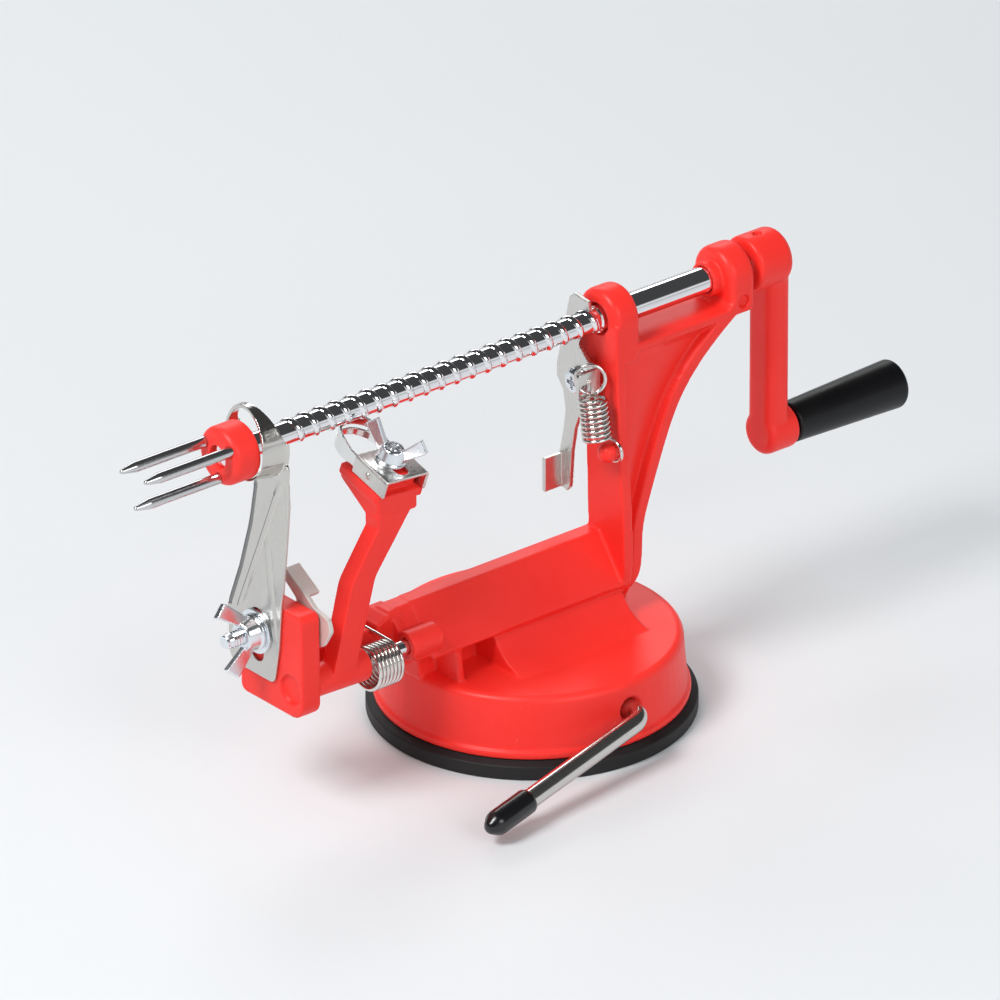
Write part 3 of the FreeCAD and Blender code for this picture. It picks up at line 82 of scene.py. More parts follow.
def make_camera():
    """The camera, placed from the sight angles above."""
    forward = Vector((math.cos(SIGHT_DROP) * math.cos(SIGHT_TURN),
                      math.cos(SIGHT_DROP) * math.sin(SIGHT_TURN), -math.sin(SIGHT_DROP)))
    level = Vector((math.sin(SIGHT_TURN), -math.cos(SIGHT_TURN), 0))
    upright = level.cross(forward)
    right = level * math.cos(SIGHT_ROLL) + upright * math.sin(SIGHT_ROLL)
    up = upright * math.cos(SIGHT_ROLL) - level * math.sin(SIGHT_ROLL)
    aside = SIGHT_RIGHT / SIGHT_REACH * SIGHT_DISTANCE
    above = SIGHT_DOWN / SIGHT_REACH * SIGHT_DISTANCE
    place = -right * aside + up * above - forward * SIGHT_DISTANCE
    camera = bpy.data.objects.new("camera", bpy.data.cameras.new("camera"))
    camera.data.lens = camera.data.sensor_width * SIGHT_REACH
    camera.data.clip_end = 60
    turn = Matrix((right, up, -forward)).transposed()
    camera.matrix_world = Matrix.Translation(place) @ turn.to_4x4()
    scene.collection.objects.link(camera)
    scene.camera = camera


# Node graphs

class Graph:
    """A short way to place nodes and links in one node tree."""

    NODE_STEP = 180

    def __init__(self, tree):
        self.tree = tree
        self.at = 0

    def add(self, kind, feeds=None, **settings):
        """Places a node; feeds give its sockets a value or a link."""
        node = self.tree.nodes.new(kind)
        node.location = (self.at, 0)
        self.at += self.NODE_STEP
        for key, value in settings.items():
            setattr(node, key, value)
        for key, value in (feeds or {}).items():
            socket = node.inputs[key]
            if isinstance(value, bpy.types.NodeSocket):
                self.tree.links.new(value, socket)
            else:
                socket.default_value = value
        return node

    def math(self, operation, first, second=None, clamp=False):
        """One arithmetic step on one or two values."""
        feeds = {0: first} if second is None else {0: first, 1: second}
        return self.add("ShaderNodeMath", feeds, operation=operation, use_clamp=clamp).outputs[0]

    def noise(self, vector, size):
        """Soft noise whose patches are about size across."""
        node = self.add("ShaderNodeTexNoise", {"Vector": vector, "Scale": 1 / size, "Detail": 3.0,
                                               "Roughness": 0.55})
        return node.outputs["Fac"]

    def spread(self, value, low, high, to_low=0.0, to_high=1.0):
        """Maps low..high onto to_low..to_high, held at both ends."""
        node = self.add("ShaderNodeMapRange", {"Value": value, "From Min": low, "From Max": high,
                                               "To Min": to_low, "To Max": to_high})
        return node.outputs["Result"]

    def mix(self, share, first, second):
        """A colour between two, by a share from 0 to 1."""
        node = self.add("ShaderNodeMix", {0: share, 6: first, 7: second}, data_type="RGBA")
        return node.outputs[2]


def new_group(name, inputs, outputs):
    """A shared effect with named sockets; returns its tree, graph, inputs and result node."""
    tree = bpy.data.node_groups.new(name, "ShaderNodeTree")
    for label, kind, value in inputs:
        socket = tree.interface.new_socket(label, in_out="INPUT", socket_type="NodeSocket" + kind)
        if value is not None:
            socket.default_value = value
    for label, kind in outputs:
        tree.interface.new_socket(label, in_out="OUTPUT", socket_type="NodeSocket" + kind)
    graph = Graph(tree)
    return tree, graph, graph.add("NodeGroupInput").outputs, graph.add("NodeGroupOutput").inputs


def grain_group():
    """Fine moulded or cast grain over a slow unevenness: height for a Bump and a roughness."""
    tree, g, given, out = new_group("surface_grain", [
        ("Grain size", "Float", 0.0004), ("Sink size", "Float", 0.02), ("Sink share", "Float", 0.5),
        ("Roughness", "Float", 0.4), ("Roughness spread", "Float", 0.06)],
        [("Height", "Float"), ("Roughness", "Float")])
    place = g.add("ShaderNodeTexCoord").outputs["Object"]
    fine = g.add("ShaderNodeTexNoise", {"Vector": place, "Detail": 2.0})
    tree.links.new(g.math("DIVIDE", 1.0, given["Grain size"]), fine.inputs["Scale"])
    slow = g.add("ShaderNodeTexNoise", {"Vector": place, "Detail": 2.0})
    tree.links.new(g.math("DIVIDE", 1.0, given["Sink size"]), slow.inputs["Scale"])
    sunk = g.math("MULTIPLY", slow.outputs["Fac"], given["Sink share"])
    tree.links.new(g.math("ADD", fine.outputs["Fac"], sunk), out["Height"])
    swing = g.math("MULTIPLY", g.math("SUBTRACT", slow.outputs["Fac"], 0.5), given["Roughness spread"])
    tree.links.new(g.math("ADD", given["Roughness"], swing), out["Roughness"])
    return tree


def wear_group():
    """Rubbed edges from how sharp the surface turns, broken up by noise: a mask from 0 to 1."""
    tree, g, given, out = new_group("edge_wear", [
        ("Threshold", "Float", 0.56), ("Width", "Float", 0.05), ("Patch size", "Float", 0.004),
        ("Amount", "Float", 0.6)], [("Wear", "Float")])
    place = g.add("ShaderNodeTexCoord").outputs["Object"]
    sharp = g.add("ShaderNodeNewGeometry").outputs["Pointiness"]
    patches = g.add("ShaderNodeTexNoise", {"Vector": place, "Detail": 4.0, "Roughness": 0.7})
    tree.links.new(g.math("DIVIDE", 1.0, given["Patch size"]), patches.inputs["Scale"])
    edge = g.math("DIVIDE", g.math("SUBTRACT", sharp, given["Threshold"]), given["Width"], clamp=True)
    broken = g.spread(patches.outputs["Fac"], 0.48, 0.68)
    tree.links.new(g.math("MULTIPLY", g.math("MULTIPLY", edge, broken), given["Amount"]), out["Wear"])
    return tree


def brush_group():
    """Drawn lines along one direction: height, and a roughness that varies line by line."""
    tree, g, given, out = new_group("brushed_lines", [
        ("Stretch", "Vector", (1500.0, 1500.0, 40.0)), ("Roughness", "Float", 0.3),
        ("Roughness spread", "Float", 0.15)],
        [("Height", "Float"), ("Roughness", "Float"), ("Tone", "Float")])
    place = g.add("ShaderNodeTexCoord").outputs["Object"]
    drawn = g.add("ShaderNodeVectorMath", {0: place, 1: given["Stretch"]}, operation="MULTIPLY")
    lines = g.add("ShaderNodeTexNoise", {"Vector": drawn.outputs[0], "Scale": 1.0, "Detail": 4.0,
                                         "Roughness": 0.6}).outputs["Fac"]
    cloud = g.noise(place, 0.012)
    tree.links.new(lines, out["Height"])
    both = g.math("ADD", g.math("MULTIPLY", lines, 0.6), g.math("MULTIPLY", cloud, 0.4))
    swing = g.math("MULTIPLY", g.math("SUBTRACT", both, 0.5), given["Roughness spread"])
    tree.links.new(g.math("ADD", given["Roughness"], swing), out["Roughness"])
    tree.links.new(both, out["Tone"])
    return tree


def scratch_group():
    """Sparse hairline scratches at two angles: a mask and a height."""
    tree, g, given, out = new_group("hairlines", [("Amount", "Float", 0.5), ("Spacing", "Float", 0.004)],
                                    [("Mask", "Float"), ("Height", "Float")])
    place = g.add("ShaderNodeTexCoord").outputs["Object"]
    total = None
    for turn in ((0.6, 0.2, 0.9), (-0.9, 1.1, 0.3)):
        turned = g.add("ShaderNodeMapping", {"Vector": place, "Rotation": turn, "Scale": (14.0, 1.0, 1.0)})
        cells = g.add("ShaderNodeTexVoronoi", {"Vector": turned.outputs[0]}, feature="DISTANCE_TO_EDGE")
        tree.links.new(g.math("DIVIDE", 1.0, given["Spacing"]), cells.inputs["Scale"])
        line = g.spread(cells.outputs["Distance"], 0.0, 0.012, 1.0, 0.0)
        total = line if total is None else g.math("MAXIMUM", total, line)
    tree.links.new(g.math("MULTIPLY", total, given["Amount"]), out["Mask"])
    tree.links.new(g.math("MULTIPLY", total, -1.0), out["Height"])
    return tree


GRAIN = grain_group()
WEAR = wear_group()
BRUSH = brush_group()
HAIRLINES = scratch_group()


def new_finish(name):
    """An empty material: its graph and its Principled shader."""
    material = bpy.data.materials.new(name)
    material.use_nodes = True
    graph = Graph(material.node_tree)
    return material, graph, material.node_tree.nodes["Principled BSDF"]


def effect(g, tree, **feeds):
    """Places a shared effect in a material's graph with its own values."""
    node = g.add("ShaderNodeGroup", node_tree=tree)
    for label, value in feeds.items():
        socket = node.inputs[label.replace("_", " ")]
        if isinstance(value, bpy.types.NodeSocket):
            g.tree.links.new(value, socket)
        else:
            socket.default_value = value
    return node.outputs


def bump(g, shader, height, depth, strength):
    """Raises the surface by a height of up to depth metres."""
    node = g.add("ShaderNodeBump", {"Height": height, "Distance": depth, "Strength": strength})
    g.tree.links.new(node.outputs["Normal"], shader.inputs["Normal"])


RED = (0.93, 0.036, 0.027, 1)
RED_DEEP = (0.88, 0.027, 0.020, 1)
RED_RUBBED = (0.96, 0.22, 0.19, 1)


def moulded_red():
    """Injection-moulded plastic: slight sink marks, fine grain and paler rubbed edges."""
    material, g, shader = new_finish("moulded_red")
    grain = effect(g, GRAIN, Grain_size=0.00035, Sink_size=0.018, Sink_share=6.0, Roughness=0.38,
                   Roughness_spread=0.12)
    place = g.add("ShaderNodeTexCoord").outputs["Object"]
    tone = g.spread(g.noise(place, 0.03), 0.3, 0.7)
    wear = effect(g, WEAR, Threshold=0.56, Width=0.06, Patch_size=0.002, Amount=0.3)
    paint = g.mix(wear["Wear"], g.mix(tone, RED_DEEP, RED), RED_RUBBED)
    g.tree.links.new(paint, shader.inputs["Base Color"])
    g.tree.links.new(grain["Roughness"], shader.inputs["Roughness"])
    shader.inputs["Specular IOR Level"].default_value = 0.30
    bump(g, shader, grain["Height"], 0.00002, 0.5)
    return material


def black_plastic(name, colour, rough, grain_size, depth, shine, coat=0.0):
    """Black plastic, rubber or vinyl with a grain, greyer where it is rubbed."""
    material, g, shader = new_finish(name)
    grain = effect(g, GRAIN, Grain_size=grain_size, Sink_size=0.01, Sink_share=0.6, Roughness=rough,
                   Roughness_spread=0.18)
    wear = effect(g, WEAR, Threshold=0.54, Width=0.05, Patch_size=0.002, Amount=0.3)
    paler = tuple(min(1.0, c * 4 + 0.02) for c in colour[:3]) + (1,)
    g.tree.links.new(g.mix(wear["Wear"], colour, paler), shader.inputs["Base Color"])
    g.tree.links.new(grain["Roughness"], shader.inputs["Roughness"])
    shader.inputs["Specular IOR Level"].default_value = shine
    shader.inputs["Coat Weight"].default_value = coat
    shader.inputs["Coat Roughness"].default_value = 0.08
    bump(g, shader, grain["Height"], depth, 0.6)
    return material


def plated_metal(name, colour, dull, rough, spread, grain_size, depth, scratches=0.4):
    """Plated metal with a slight haze, cast grain and hairline scratches."""
    material, g, shader = new_finish(name)
    grain = effect(g, GRAIN, Grain_size=grain_size, Sink_size=0.006, Sink_share=1.5, Roughness=rough,
                   Roughness_spread=spread)
    hair = effect(g, HAIRLINES, Amount=scratches, Spacing=0.005)
    g.tree.links.new(g.mix(hair["Mask"], colour, dull), shader.inputs["Base Color"])
    scratched = g.math("MULTIPLY", hair["Mask"], 0.12)
    g.tree.links.new(g.math("ADD", grain["Roughness"], scratched), shader.inputs["Roughness"])
    shader.inputs["Metallic"].default_value = 1.0
    bump(g, shader, grain["Height"], depth, 0.5)
    return material


HAIRLINE_TONE = (0.80, 0.79, 0.77, 1)
GROUND_TONE = (0.21, 0.21, 0.21, 1)
GROUND_FACING = (0.12, 0.22)   # how far a face must turn to the left to show as ground
POLISH_FADE = 0.004            # metres of height over which the polish sets in
POLISHED = 0.45                # what polish leaves of the roughness


def brushed_sheet(name, stretch, dark, light, rough=0.28, polished_from=None, metal=1.0):
    """Nickel-plated sheet steel, drawn along one direction.

    It may be polished from a height up, and below that its left edge is ground dark.
    """
    material, g, shader = new_finish(name)
    drawn = effect(g, BRUSH, Stretch=stretch, Roughness=rough, Roughness_spread=0.12)
    hair = effect(g, HAIRLINES, Amount=0.3, Spacing=0.006)
    tone = g.mix(drawn["Tone"], dark, light)
    tone = g.mix(hair["Mask"], tone, HAIRLINE_TONE)
    roughness = drawn["Roughness"]
    if polished_from is not None:
        place = g.add("ShaderNodeTexCoord").outputs["Object"]
        up = g.add("ShaderNodeSeparateXYZ", {0: place}).outputs["Z"]
        facing = g.add("ShaderNodeNewGeometry").outputs["Normal"]
        facing = g.add("ShaderNodeSeparateXYZ", {0: facing}).outputs["Y"]
        ground = g.spread(facing, *GROUND_FACING)
        below = g.spread(up, polished_from - POLISH_FADE, polished_from - POLISH_FADE / 4, 1.0, 0.0)
        tone = g.mix(g.math("MULTIPLY", ground, below), tone, GROUND_TONE)
        kept = g.spread(up, polished_from, polished_from + POLISH_FADE, 1.0, POLISHED)
        roughness = g.math("MULTIPLY", roughness, kept)
    g.tree.links.new(tone, shader.inputs["Base Color"])
    g.tree.links.new(roughness, shader.inputs["Roughness"])
    shader.inputs["Metallic"].default_value = metal
    bump(g, shader, g.math("ADD", drawn["Height"], hair["Height"]), 0.000002, 0.3)
    return material


RUBBER_BLACK = (0.011, 0.011, 0.012, 1)
DEEP_BLACK = (0.005, 0.005, 0.006, 1)
SHEET_DARK = (0.60, 0.585, 0.56, 1)
SHEET_LIGHT = (0.72, 0.705, 0.68, 1)
FINISH = {
    "moulding": moulded_red(),
    "rubber_pad": black_plastic("pad_rubber", RUBBER_BLACK, 0.58, 0.0003, 0.00003, shine=0.36),
    "handle_plastic": black_plastic("handle_black", DEEP_BLACK, 0.36, 0.0004, 0.00003, shine=0.30),
    "cap_vinyl": black_plastic("vinyl_black", DEEP_BLACK, 0.30, 0.0015, 0.00004, shine=0.35, coat=0.5),
    "chrome_shaft": plated_metal("chrome", (0.84, 0.84, 0.86, 1), (0.6, 0.6, 0.62, 1), 0.07, 0.06,
                                 0.0006, 0.000003),
    "zinc_hardware": plated_metal("bright_zinc", (0.80, 0.83, 0.87, 1), (0.55, 0.57, 0.6, 1), 0.22, 0.18,
                                  0.0005, 0.00002),
    "spring_wire": plated_metal("spring_nickel", (0.74, 0.72, 0.69, 1), (0.5, 0.49, 0.47, 1), 0.16, 0.1,
                                0.0004, 0.000006),
    "nickel_sheet": brushed_sheet("nickel_upright", (900.0, 1800.0, 60.0), SHEET_DARK, SHEET_LIGHT),
}
OWN_FINISH = {
    "slicer_blade": brushed_sheet("blade_steel", (500.0, 900.0, 50.0), (0.57, 0.55, 0.52, 1),
                                  (0.65, 0.63, 0.60, 1), 0.32, 0.1145),
    "catch_lever": brushed_sheet("catch_nickel", (700.0, 500.0, 500.0), (0.62, 0.60, 0.56, 1),
                                 (0.74, 0.72, 0.68, 1), 0.42, metal=0.4),
    "peeler_blade": brushed_sheet("hoop_steel", (300.0, 300.0, 900.0), (0.70, 0.70, 0.69, 1),
                                  (0.80, 0.80, 0.79, 1), 0.16),
    "fork_prongs": plated_metal("prong_steel", (0.62, 0.62, 0.63, 1), (0.45, 0.45, 0.46, 1), 0.20, 0.10,
                                0.0005, 0.000004),
    "suction_lever": plated_metal("lever_nickel", (0.66, 0.645, 0.62, 1), (0.46, 0.45, 0.43, 1), 0.17, 0.14,
                                  0.0007, 0.000012),
}


def dress(piece, name):
    """Gives a piece the finish of a node, over whatever materials it came with."""
    slot = SLOT_OF[name]
    finish = OWN_FINISH.get(name, FINISH[slot])
    if not piece.material_slots:
        piece.data.materials.append(finish)
    for place in piece.material_slots:
        place.link = "OBJECT"
        place.material = finish


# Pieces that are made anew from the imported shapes

def copy_of(name, label):
    """A free copy of a node's mesh, with the split corners of its faces joined again."""
    piece = bpy.data.objects.new(label, nodes[name].data.copy())
    scene.collection.objects.link(piece)
    mesh = bmesh.new()
    mesh.from_mesh(piece.data)
    bmesh.ops.remove_doubles(mesh, verts=mesh.verts, dist=1e-7)
    mesh.to_mesh(piece.data)
    mesh.free()
    return piece


def settle(piece):
    """Turns a piece's modifiers into plain mesh."""
    made = bpy.data.meshes.new_from_object(piece.evaluated_get(bpy.context.evaluated_depsgraph_get()))
    piece.modifiers.clear()
    piece.data = made


def regrid(piece, grid):
    """Gives the whole piece one even skin of small faces."""
    skin = piece.modifiers.new("regrid", "REMESH")
    skin.mode = "VOXEL"
    skin.voxel_size = grid
    settle(piece)


def ease(piece, rounds, where=None):
    """Rounds the edges off, everywhere or by the weights of a vertex group."""
    soft = piece.modifiers.new("ease", "SMOOTH")
    soft.factor = 0.5
    soft.iterations = rounds
    if where:
        soft.vertex_group = where
    settle(piece)
    for face in piece.data.polygons:
        face.use_smooth = True


def moulded(name, label, grid, rounds):
    """A moulding or a stamping with softly rounded edges: regridded, then eased."""
    piece = copy_of(name, label)
    regrid(piece, grid)
    ease(piece, rounds)
    return piece


def take_over(piece, name):
    """The piece stands for a node: same body, same finish."""
    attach(piece, nodes[name]["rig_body"])
    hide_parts(name)
    dress(piece, name)


def slope(value, low, high):
    """0 below low, 1 above high, smooth between, for one value or a row of them."""
    share = np.clip((value - low) / (high - low), 0.0, 1.0)
    return share * share * (3 - 2 * share)


def line_at(points, at):
    """The values at places on a line of (place, value) points, held at both ends."""
    places, values = zip(*points)
    return np.interp(at, places, values)


def read_points(mesh):
    """A mesh's points and their normals as rows, in millimetres."""
    rows = np.empty(len(mesh.vertices) * 3)
    mesh.vertices.foreach_get("co", rows)
    normals = np.empty(len(mesh.vertices) * 3)
    mesh.vertices.foreach_get("normal", normals)
    return rows.reshape(-1, 3) / MM, normals.reshape(-1, 3)


def write_points(mesh, rows):
    """Puts points in millimetres back into a mesh."""
    mesh.vertices.foreach_set("co", (rows * MM).ravel())
    mesh.update()


class Making:
    """Gathers closed forms, in millimetres, into one piece."""

    def __init__(self):
        self.points = []
        self.faces = []

    def loft(self, rings, ringed=False):
        """Skins a row of rings; ringed joins the last to the first, otherwise both ends are closed."""
        first = len(self.points)
        around = len(rings[0])
        for ring in rings:
            self.points.extend(ring)
        rows = len(rings)
        for row in range(rows if ringed else rows - 1):
            for step in range(around):
                beside = (step + 1) % around
                here = first + row * around
                next_ = first + (row + 1) % rows * around
                self.faces.append((here + step, here + beside, next_ + beside, next_ + step))
        if not ringed:
            last = first + (rows - 1) * around
            self.faces.append(tuple(range(first + around - 1, first - 1, -1)))
            self.faces.append(tuple(range(last, last + around)))

    def turned(self, lay, profile, sides=64, ringed=False):
        """A form turned about the local Z axis, from (height, radius) pairs."""
        rings = []
        for height, radius in profile:
            ring = []
            for step in range(sides):
                angle = math.tau * step / sides
                ring.append(lay @ Vector((radius * math.cos(angle), radius * math.sin(angle), height)))
            rings.append(ring)
        self.loft(rings, ringed)

    def slab(self, lay, corners, thick):
        """A flat form in the local YZ plane, with its middle on it."""
        self.loft([[lay @ Vector((side * thick / 2, out, up)) for out, up in corners] for side in (-1, 1)])

    def piece(self, label, crease=None):
        """The gathered forms as one shaded piece, with sharp edges above the crease angle."""
        mesh = bpy.data.meshes.new(label)
        mesh.from_pydata([Vector(point) * MM for point in self.points], [], self.faces)
        piece = bpy.data.objects.new(label, mesh)
        scene.collection.objects.link(piece)
        tidy = bmesh.new()
        tidy.from_mesh(mesh)
        bmesh.ops.recalc_face_normals(tidy, faces=tidy.faces)
        tidy.to_mesh(mesh)
        tidy.free()
        for face in mesh.polygons:
            face.use_smooth = True
        if crease is not None:
            mesh.set_sharp_from_angle(angle=math.radians(crease))
        return piece


def laid(origin, toward, across=(0, 0, 1)):
    """A placing whose local Z runs toward a direction and whose Y stays in the plane of across."""
    up = Vector(toward).normalized()
    out = Vector(across) - up * up.dot(Vector(across))
    out.normalize()
    aside = out.cross(up)
    turn = Matrix((aside, out, up)).transposed()
    return Matrix.Translation(Vector(origin)) @ turn.to_4x4()


# Frame

WEB_FACE = -9.0
WEB_FRONT = 31.0
WEB_REAR = ((38.0, 33.5), (53.0, 34.0), (63.0, 36.5), (79.5, 42.5), (94.1, 49.5), (103.3, 57.0),
            (110.4, 65.5), (116.4, 74.0))
WEB_FOOT = (33, 45)
WEB_TOP = 115.2
WEB_SUNK = 2.6


def sink_web(mesh):
    """The web behind the column is dished: flush in front, deepest along the rear flange."""
    rows, normals = read_points(mesh)
    x, y, z = rows.T
    rear = line_at(WEB_REAR, z)
    web = (abs(y - WEB_FACE) < 0.3) & (normals[:, 1] < -0.7) & (x > WEB_FRONT) & (x < rear + 3.0)
    depth = WEB_SUNK * slope((x - WEB_FRONT) / (rear - WEB_FRONT), 0, 1)
    depth *= slope(z, *WEB_FOOT) * slope(WEB_TOP - z, 0, 3)
    rows[:, 1] += np.where(web, depth, 0.0)
    write_points(mesh, rows)


FLANK_ROUNDS = 60
FLANK_LEVELS = 20


def soften_flanks(piece):
    """The flanks of the spine run into the dome without a step."""
    group = piece.vertex_groups.new(name="flanks")
    x, y, z = read_points(piece.data)[0].T
    inside = slope(x, -24.0, -18.0) * slope(24.5 - x, 0, 5) * slope(abs(y), 6.5, 9.5)
    inside *= slope(34 - abs(y), 0, 4) * slope(z, 25.2, 27.5) * slope(47 - z, 0, 4)
    level = np.round(inside * FLANK_LEVELS).astype(int)
    for step in range(1, FLANK_LEVELS + 1):
        group.add(np.flatnonzero(level == step).tolist(), step / FLANK_LEVELS, "REPLACE")
    ease(piece, FLANK_ROUNDS, "flanks")
    piece.vertex_groups.remove(piece.vertex_groups["flanks"])


def make_frame():
    """The red moulding, with its web dished and its edges rounded."""
    piece = copy_of("frame", "moulded_frame")
    regrid(piece, 0.45 * MM)
    sink_web(piece.data)
    ease(piece, 3)
    soften_flanks(piece)
    return piece


# Feed shaft and fork

SHAFT_UP = 126.0
PITCH = 6.2
RIDGE_FROM, RIDGE_TO = -100.6, 25.2
RIDGE_AT = 20.33               # where the ridge crosses the shaft's left side
RIDGE_SUNK = 3.5
RIDGE_SECTION = ((-1.45, 3.5), (-1.32, 3.76), (-1.05, 4.0), (-0.7, 4.2), (-0.35, 4.34), (0, 4.4),
                 (0.35, 4.34), (0.7, 4.2), (1.05, 4.0), (1.32, 3.76), (1.45, 3.5))
SHAFT_PROFILE = ((-122.7, 3.3), (-122.2, 3.8), (-103.1, 3.8), (-102.6, 3.76), (25.8, 3.76), (26.2, 4.4),
                 (97.1, 4.4), (97.7, 3.8))


STEPS_A_TURN = 40
RUN_OUT = 8                    # steps over which the ridge rises at either end


def make_shaft():
    """The shaft with its rolled thread: one round ridge that winds along the front part."""
    making = Making()
    making.turned(laid((0, 0, SHAFT_UP), (1, 0, 0)), SHAFT_PROFILE, 96)
    steps = int((RIDGE_TO - RIDGE_FROM) / PITCH * STEPS_A_TURN)
    rings = []
    for step in range(steps + 1):
        x = RIDGE_FROM + (RIDGE_TO - RIDGE_FROM) * step / steps
        angle = math.tau * (x - RIDGE_AT) / PITCH
        full = slope(min(step, steps - step), 0, RUN_OUT)
        out = [RIDGE_SUNK + (r - RIDGE_SUNK) * full for aside, r in RIDGE_SECTION]
        rings.append([Vector((x + aside, r * math.cos(angle), SHAFT_UP + r * math.sin(angle)))
                      for (aside, _), r in zip(RIDGE_SECTION, out)])
    making.loft(rings)
    return making.piece("threaded_shaft", 30)


PRONGS_OUT = 6.9
PRONG_ROOT = -118.3
PRONG_PLACES = [(PRONGS_OUT * math.cos(math.radians(turn)), PRONGS_OUT * math.sin(math.radians(turn)))
                for turn in (26, 146, 266)]
PRONG_PROFILE = ((0, 1.75), (32.7, 1.75), (33.2, 1.68), (38.0, 0.78), (38.35, 0.6), (38.5, 0.3))


def make_prongs():
    """Three round prongs, ground to points."""
    making = Making()
    for y, z in PRONG_PLACES:
        making.turned(laid((PRONG_ROOT, y, SHAFT_UP + z), (-1, 0, 0)), PRONG_PROFILE, 48)
    return making.piece("steel_prongs", 40)


# Suction lever's cap

CAP_PROFILE = ((0, 3.3), (0.25, 3.7), (0.9, 4.02), (1.6, 4.08), (14.4, 4.08), (15.4, 3.98), (16.3, 3.65),
               (18.5, 2.1), (19.1, 1.5), (19.4, 0.7))
ROD_CORNER = Vector((0, -54.5, 17.0))
ROD_TIP = Vector((-68.5, -64.6, 6.9))
CAP_OVER = 15.4                # how much of the rod the cap covers


def make_cap():
    """A dipped cap, drawn in towards its end."""
    along = (ROD_TIP - ROD_CORNER).normalized()
    making = Making()
    making.turned(laid(ROD_TIP - along * CAP_OVER, along), CAP_PROFILE, 64)
    return making.piece("dipped_cap", 60)


# Wing nuts

def wing_nut(label, lay, bore, hub, height, reach, rise, leaf, thick):
    """A cast nut: a coned hub on a collar and two leaves that rise in a V, melted into each other."""
    making = Making()
    making.turned(lay, ((0, bore), (0, hub + 1.0), (0.7, hub + 1.0), (1.1, hub + 0.5),
                        (height - 0.5, hub - 0.35), (height, hub - 0.8), (height, bore)), 48, ringed=True)
    for side in (1, -1):
        corners = [(bore + 0.5, 0.9), (hub - 0.6, 0.9), (hub + 1.0, 2.6), (reach, rise - leaf * 0.72),
                   (reach - leaf * 0.68, rise), (bore + 0.7, height - 0.2)]
        making.slab(lay, [(side * out, up) for out, up in corners], thick)
    piece = making.piece(label)
    regrid(piece, 0.2 * MM)
    ease(piece, 5)
    return piece


HEAD_TURN = Matrix.Rotation(math.radians(15.6), 3, "X") @ Matrix.Rotation(math.radians(6.0), 3, "Y")
HEAD_BOLT = Vector((-65.4, -17.0, 101.2)) + HEAD_TURN @ Vector((0, 8.9, 0))
STUD = Vector((0, 3.6, 59.8))


def make_peeler_nut():
    """The nut on top of the peeling head, which leans with the head."""
    base = HEAD_BOLT + HEAD_TURN @ Vector((0, 0, 6.6))
    turn = math.radians(22)
    across = HEAD_TURN @ Vector((-math.sin(turn), math.cos(turn), 0))
    return wing_nut("cast_nut_small", laid(base, HEAD_TURN @ Vector((0, 0, 1)), across), bore=1.95, hub=4.0,
                    height=5.0, reach=10.9, rise=12.0, leaf=4.6, thick=1.9)


def make_slicer_nut():
    """The nut in front of the slicing blade."""
    turn = math.radians(74)
    base = STUD + Vector((-108.15, 0, 0))
    across = (0, math.cos(turn), math.sin(turn))
    return wing_nut("cast_nut_large", laid(base, (-1, 0, 0), across), bore=2.55, hub=4.9, height=5.4,
                    reach=12.0, rise=13.4, leaf=5.4, thick=2.3)


# Slicing blade

RIBS = (((64.1, 12.4), (91.8, 0.5), (116.5, -9.8)), ((58.3, -5.4), (73.3, -4.0), (93.8, -2.0)))
RIB_HALF = 1.25
RIB_RAISED = 0.55
GROUND_EDGE = ((64.8, 18.2), (78.9, 12.6), (96.4, 7.2), (110.0, 4.6))
GROUND_WIDE = 2.3
GROUND_DEEP = 0.7
GROUND_FROM, GROUND_TO = 64, 112
PLATE_FROM, PLATE_TO = 56, 118
PLATE_FRONT, PLATE_BACK = -107.6, -106.5     # the flat of the blade lies between these
DISH_FRONT, DISH_BACK = -113.5, -111.5       # the foot of the ring, smoothed into the blade
DISH_ROUNDS = 30


def press_ribs(mesh):
    """Two ribs are pressed forward along the blade, and its left edge is ground down behind."""
    rows, _ = read_points(mesh)
    x, y, z = rows.T
    raised = np.zeros(len(x))
    for rib in RIBS:
        away = abs(y - line_at(rib, z)) * 0.92
        fade = slope(z, rib[0][0] - 1, rib[0][0] + 5) * slope(rib[-1][0] + 1 - z, 0, 5)
        raised = np.maximum(raised, fade * slope(RIB_HALF - away, 0, 0.5))
    ground = GROUND_DEEP * (1 - np.clip((line_at(GROUND_EDGE, z) - y) / GROUND_WIDE, 0, 1))
    ground = np.where((z > GROUND_FROM) & (z < GROUND_TO) & (x < PLATE_BACK), ground, 0.0)
    plate = (x > PLATE_FRONT) & (z > PLATE_FROM) & (z < PLATE_TO)
    rows[:, 0] += np.where(plate, ground - raised * RIB_RAISED, 0.0)
    write_points(mesh, rows)


def make_slicer_blade():
    """The slicing blade, pressed and ground, with the ring's foot smoothed."""
    piece = copy_of("slicer_blade", "pressed_blade")
    regrid(piece, 0.2 * MM)
    ease(piece, 2)
    press_ribs(piece.data)
    group = piece.vertex_groups.new(name="dish")
    x, y, z = read_points(piece.data)[0].T
    inside = slope(x, DISH_FRONT, DISH_BACK) * slope(z, 108.5, 111.5) * slope(119.0 - z, 0, 2)
    group.add(np.flatnonzero(inside > 0.5).tolist(), 1.0, "REPLACE")
    ease(piece, DISH_ROUNDS, "dish")
    piece.vertex_groups.remove(piece.vertex_groups["dish"])
    ease(piece, 1)
    return piece


STUD_ROOT = Vector((-100, 0, 0))
STUD_LONG = 20.0
STUD_PITCH = 1.05
STUD_CORE, STUD_CREST = 2.22, 2.58


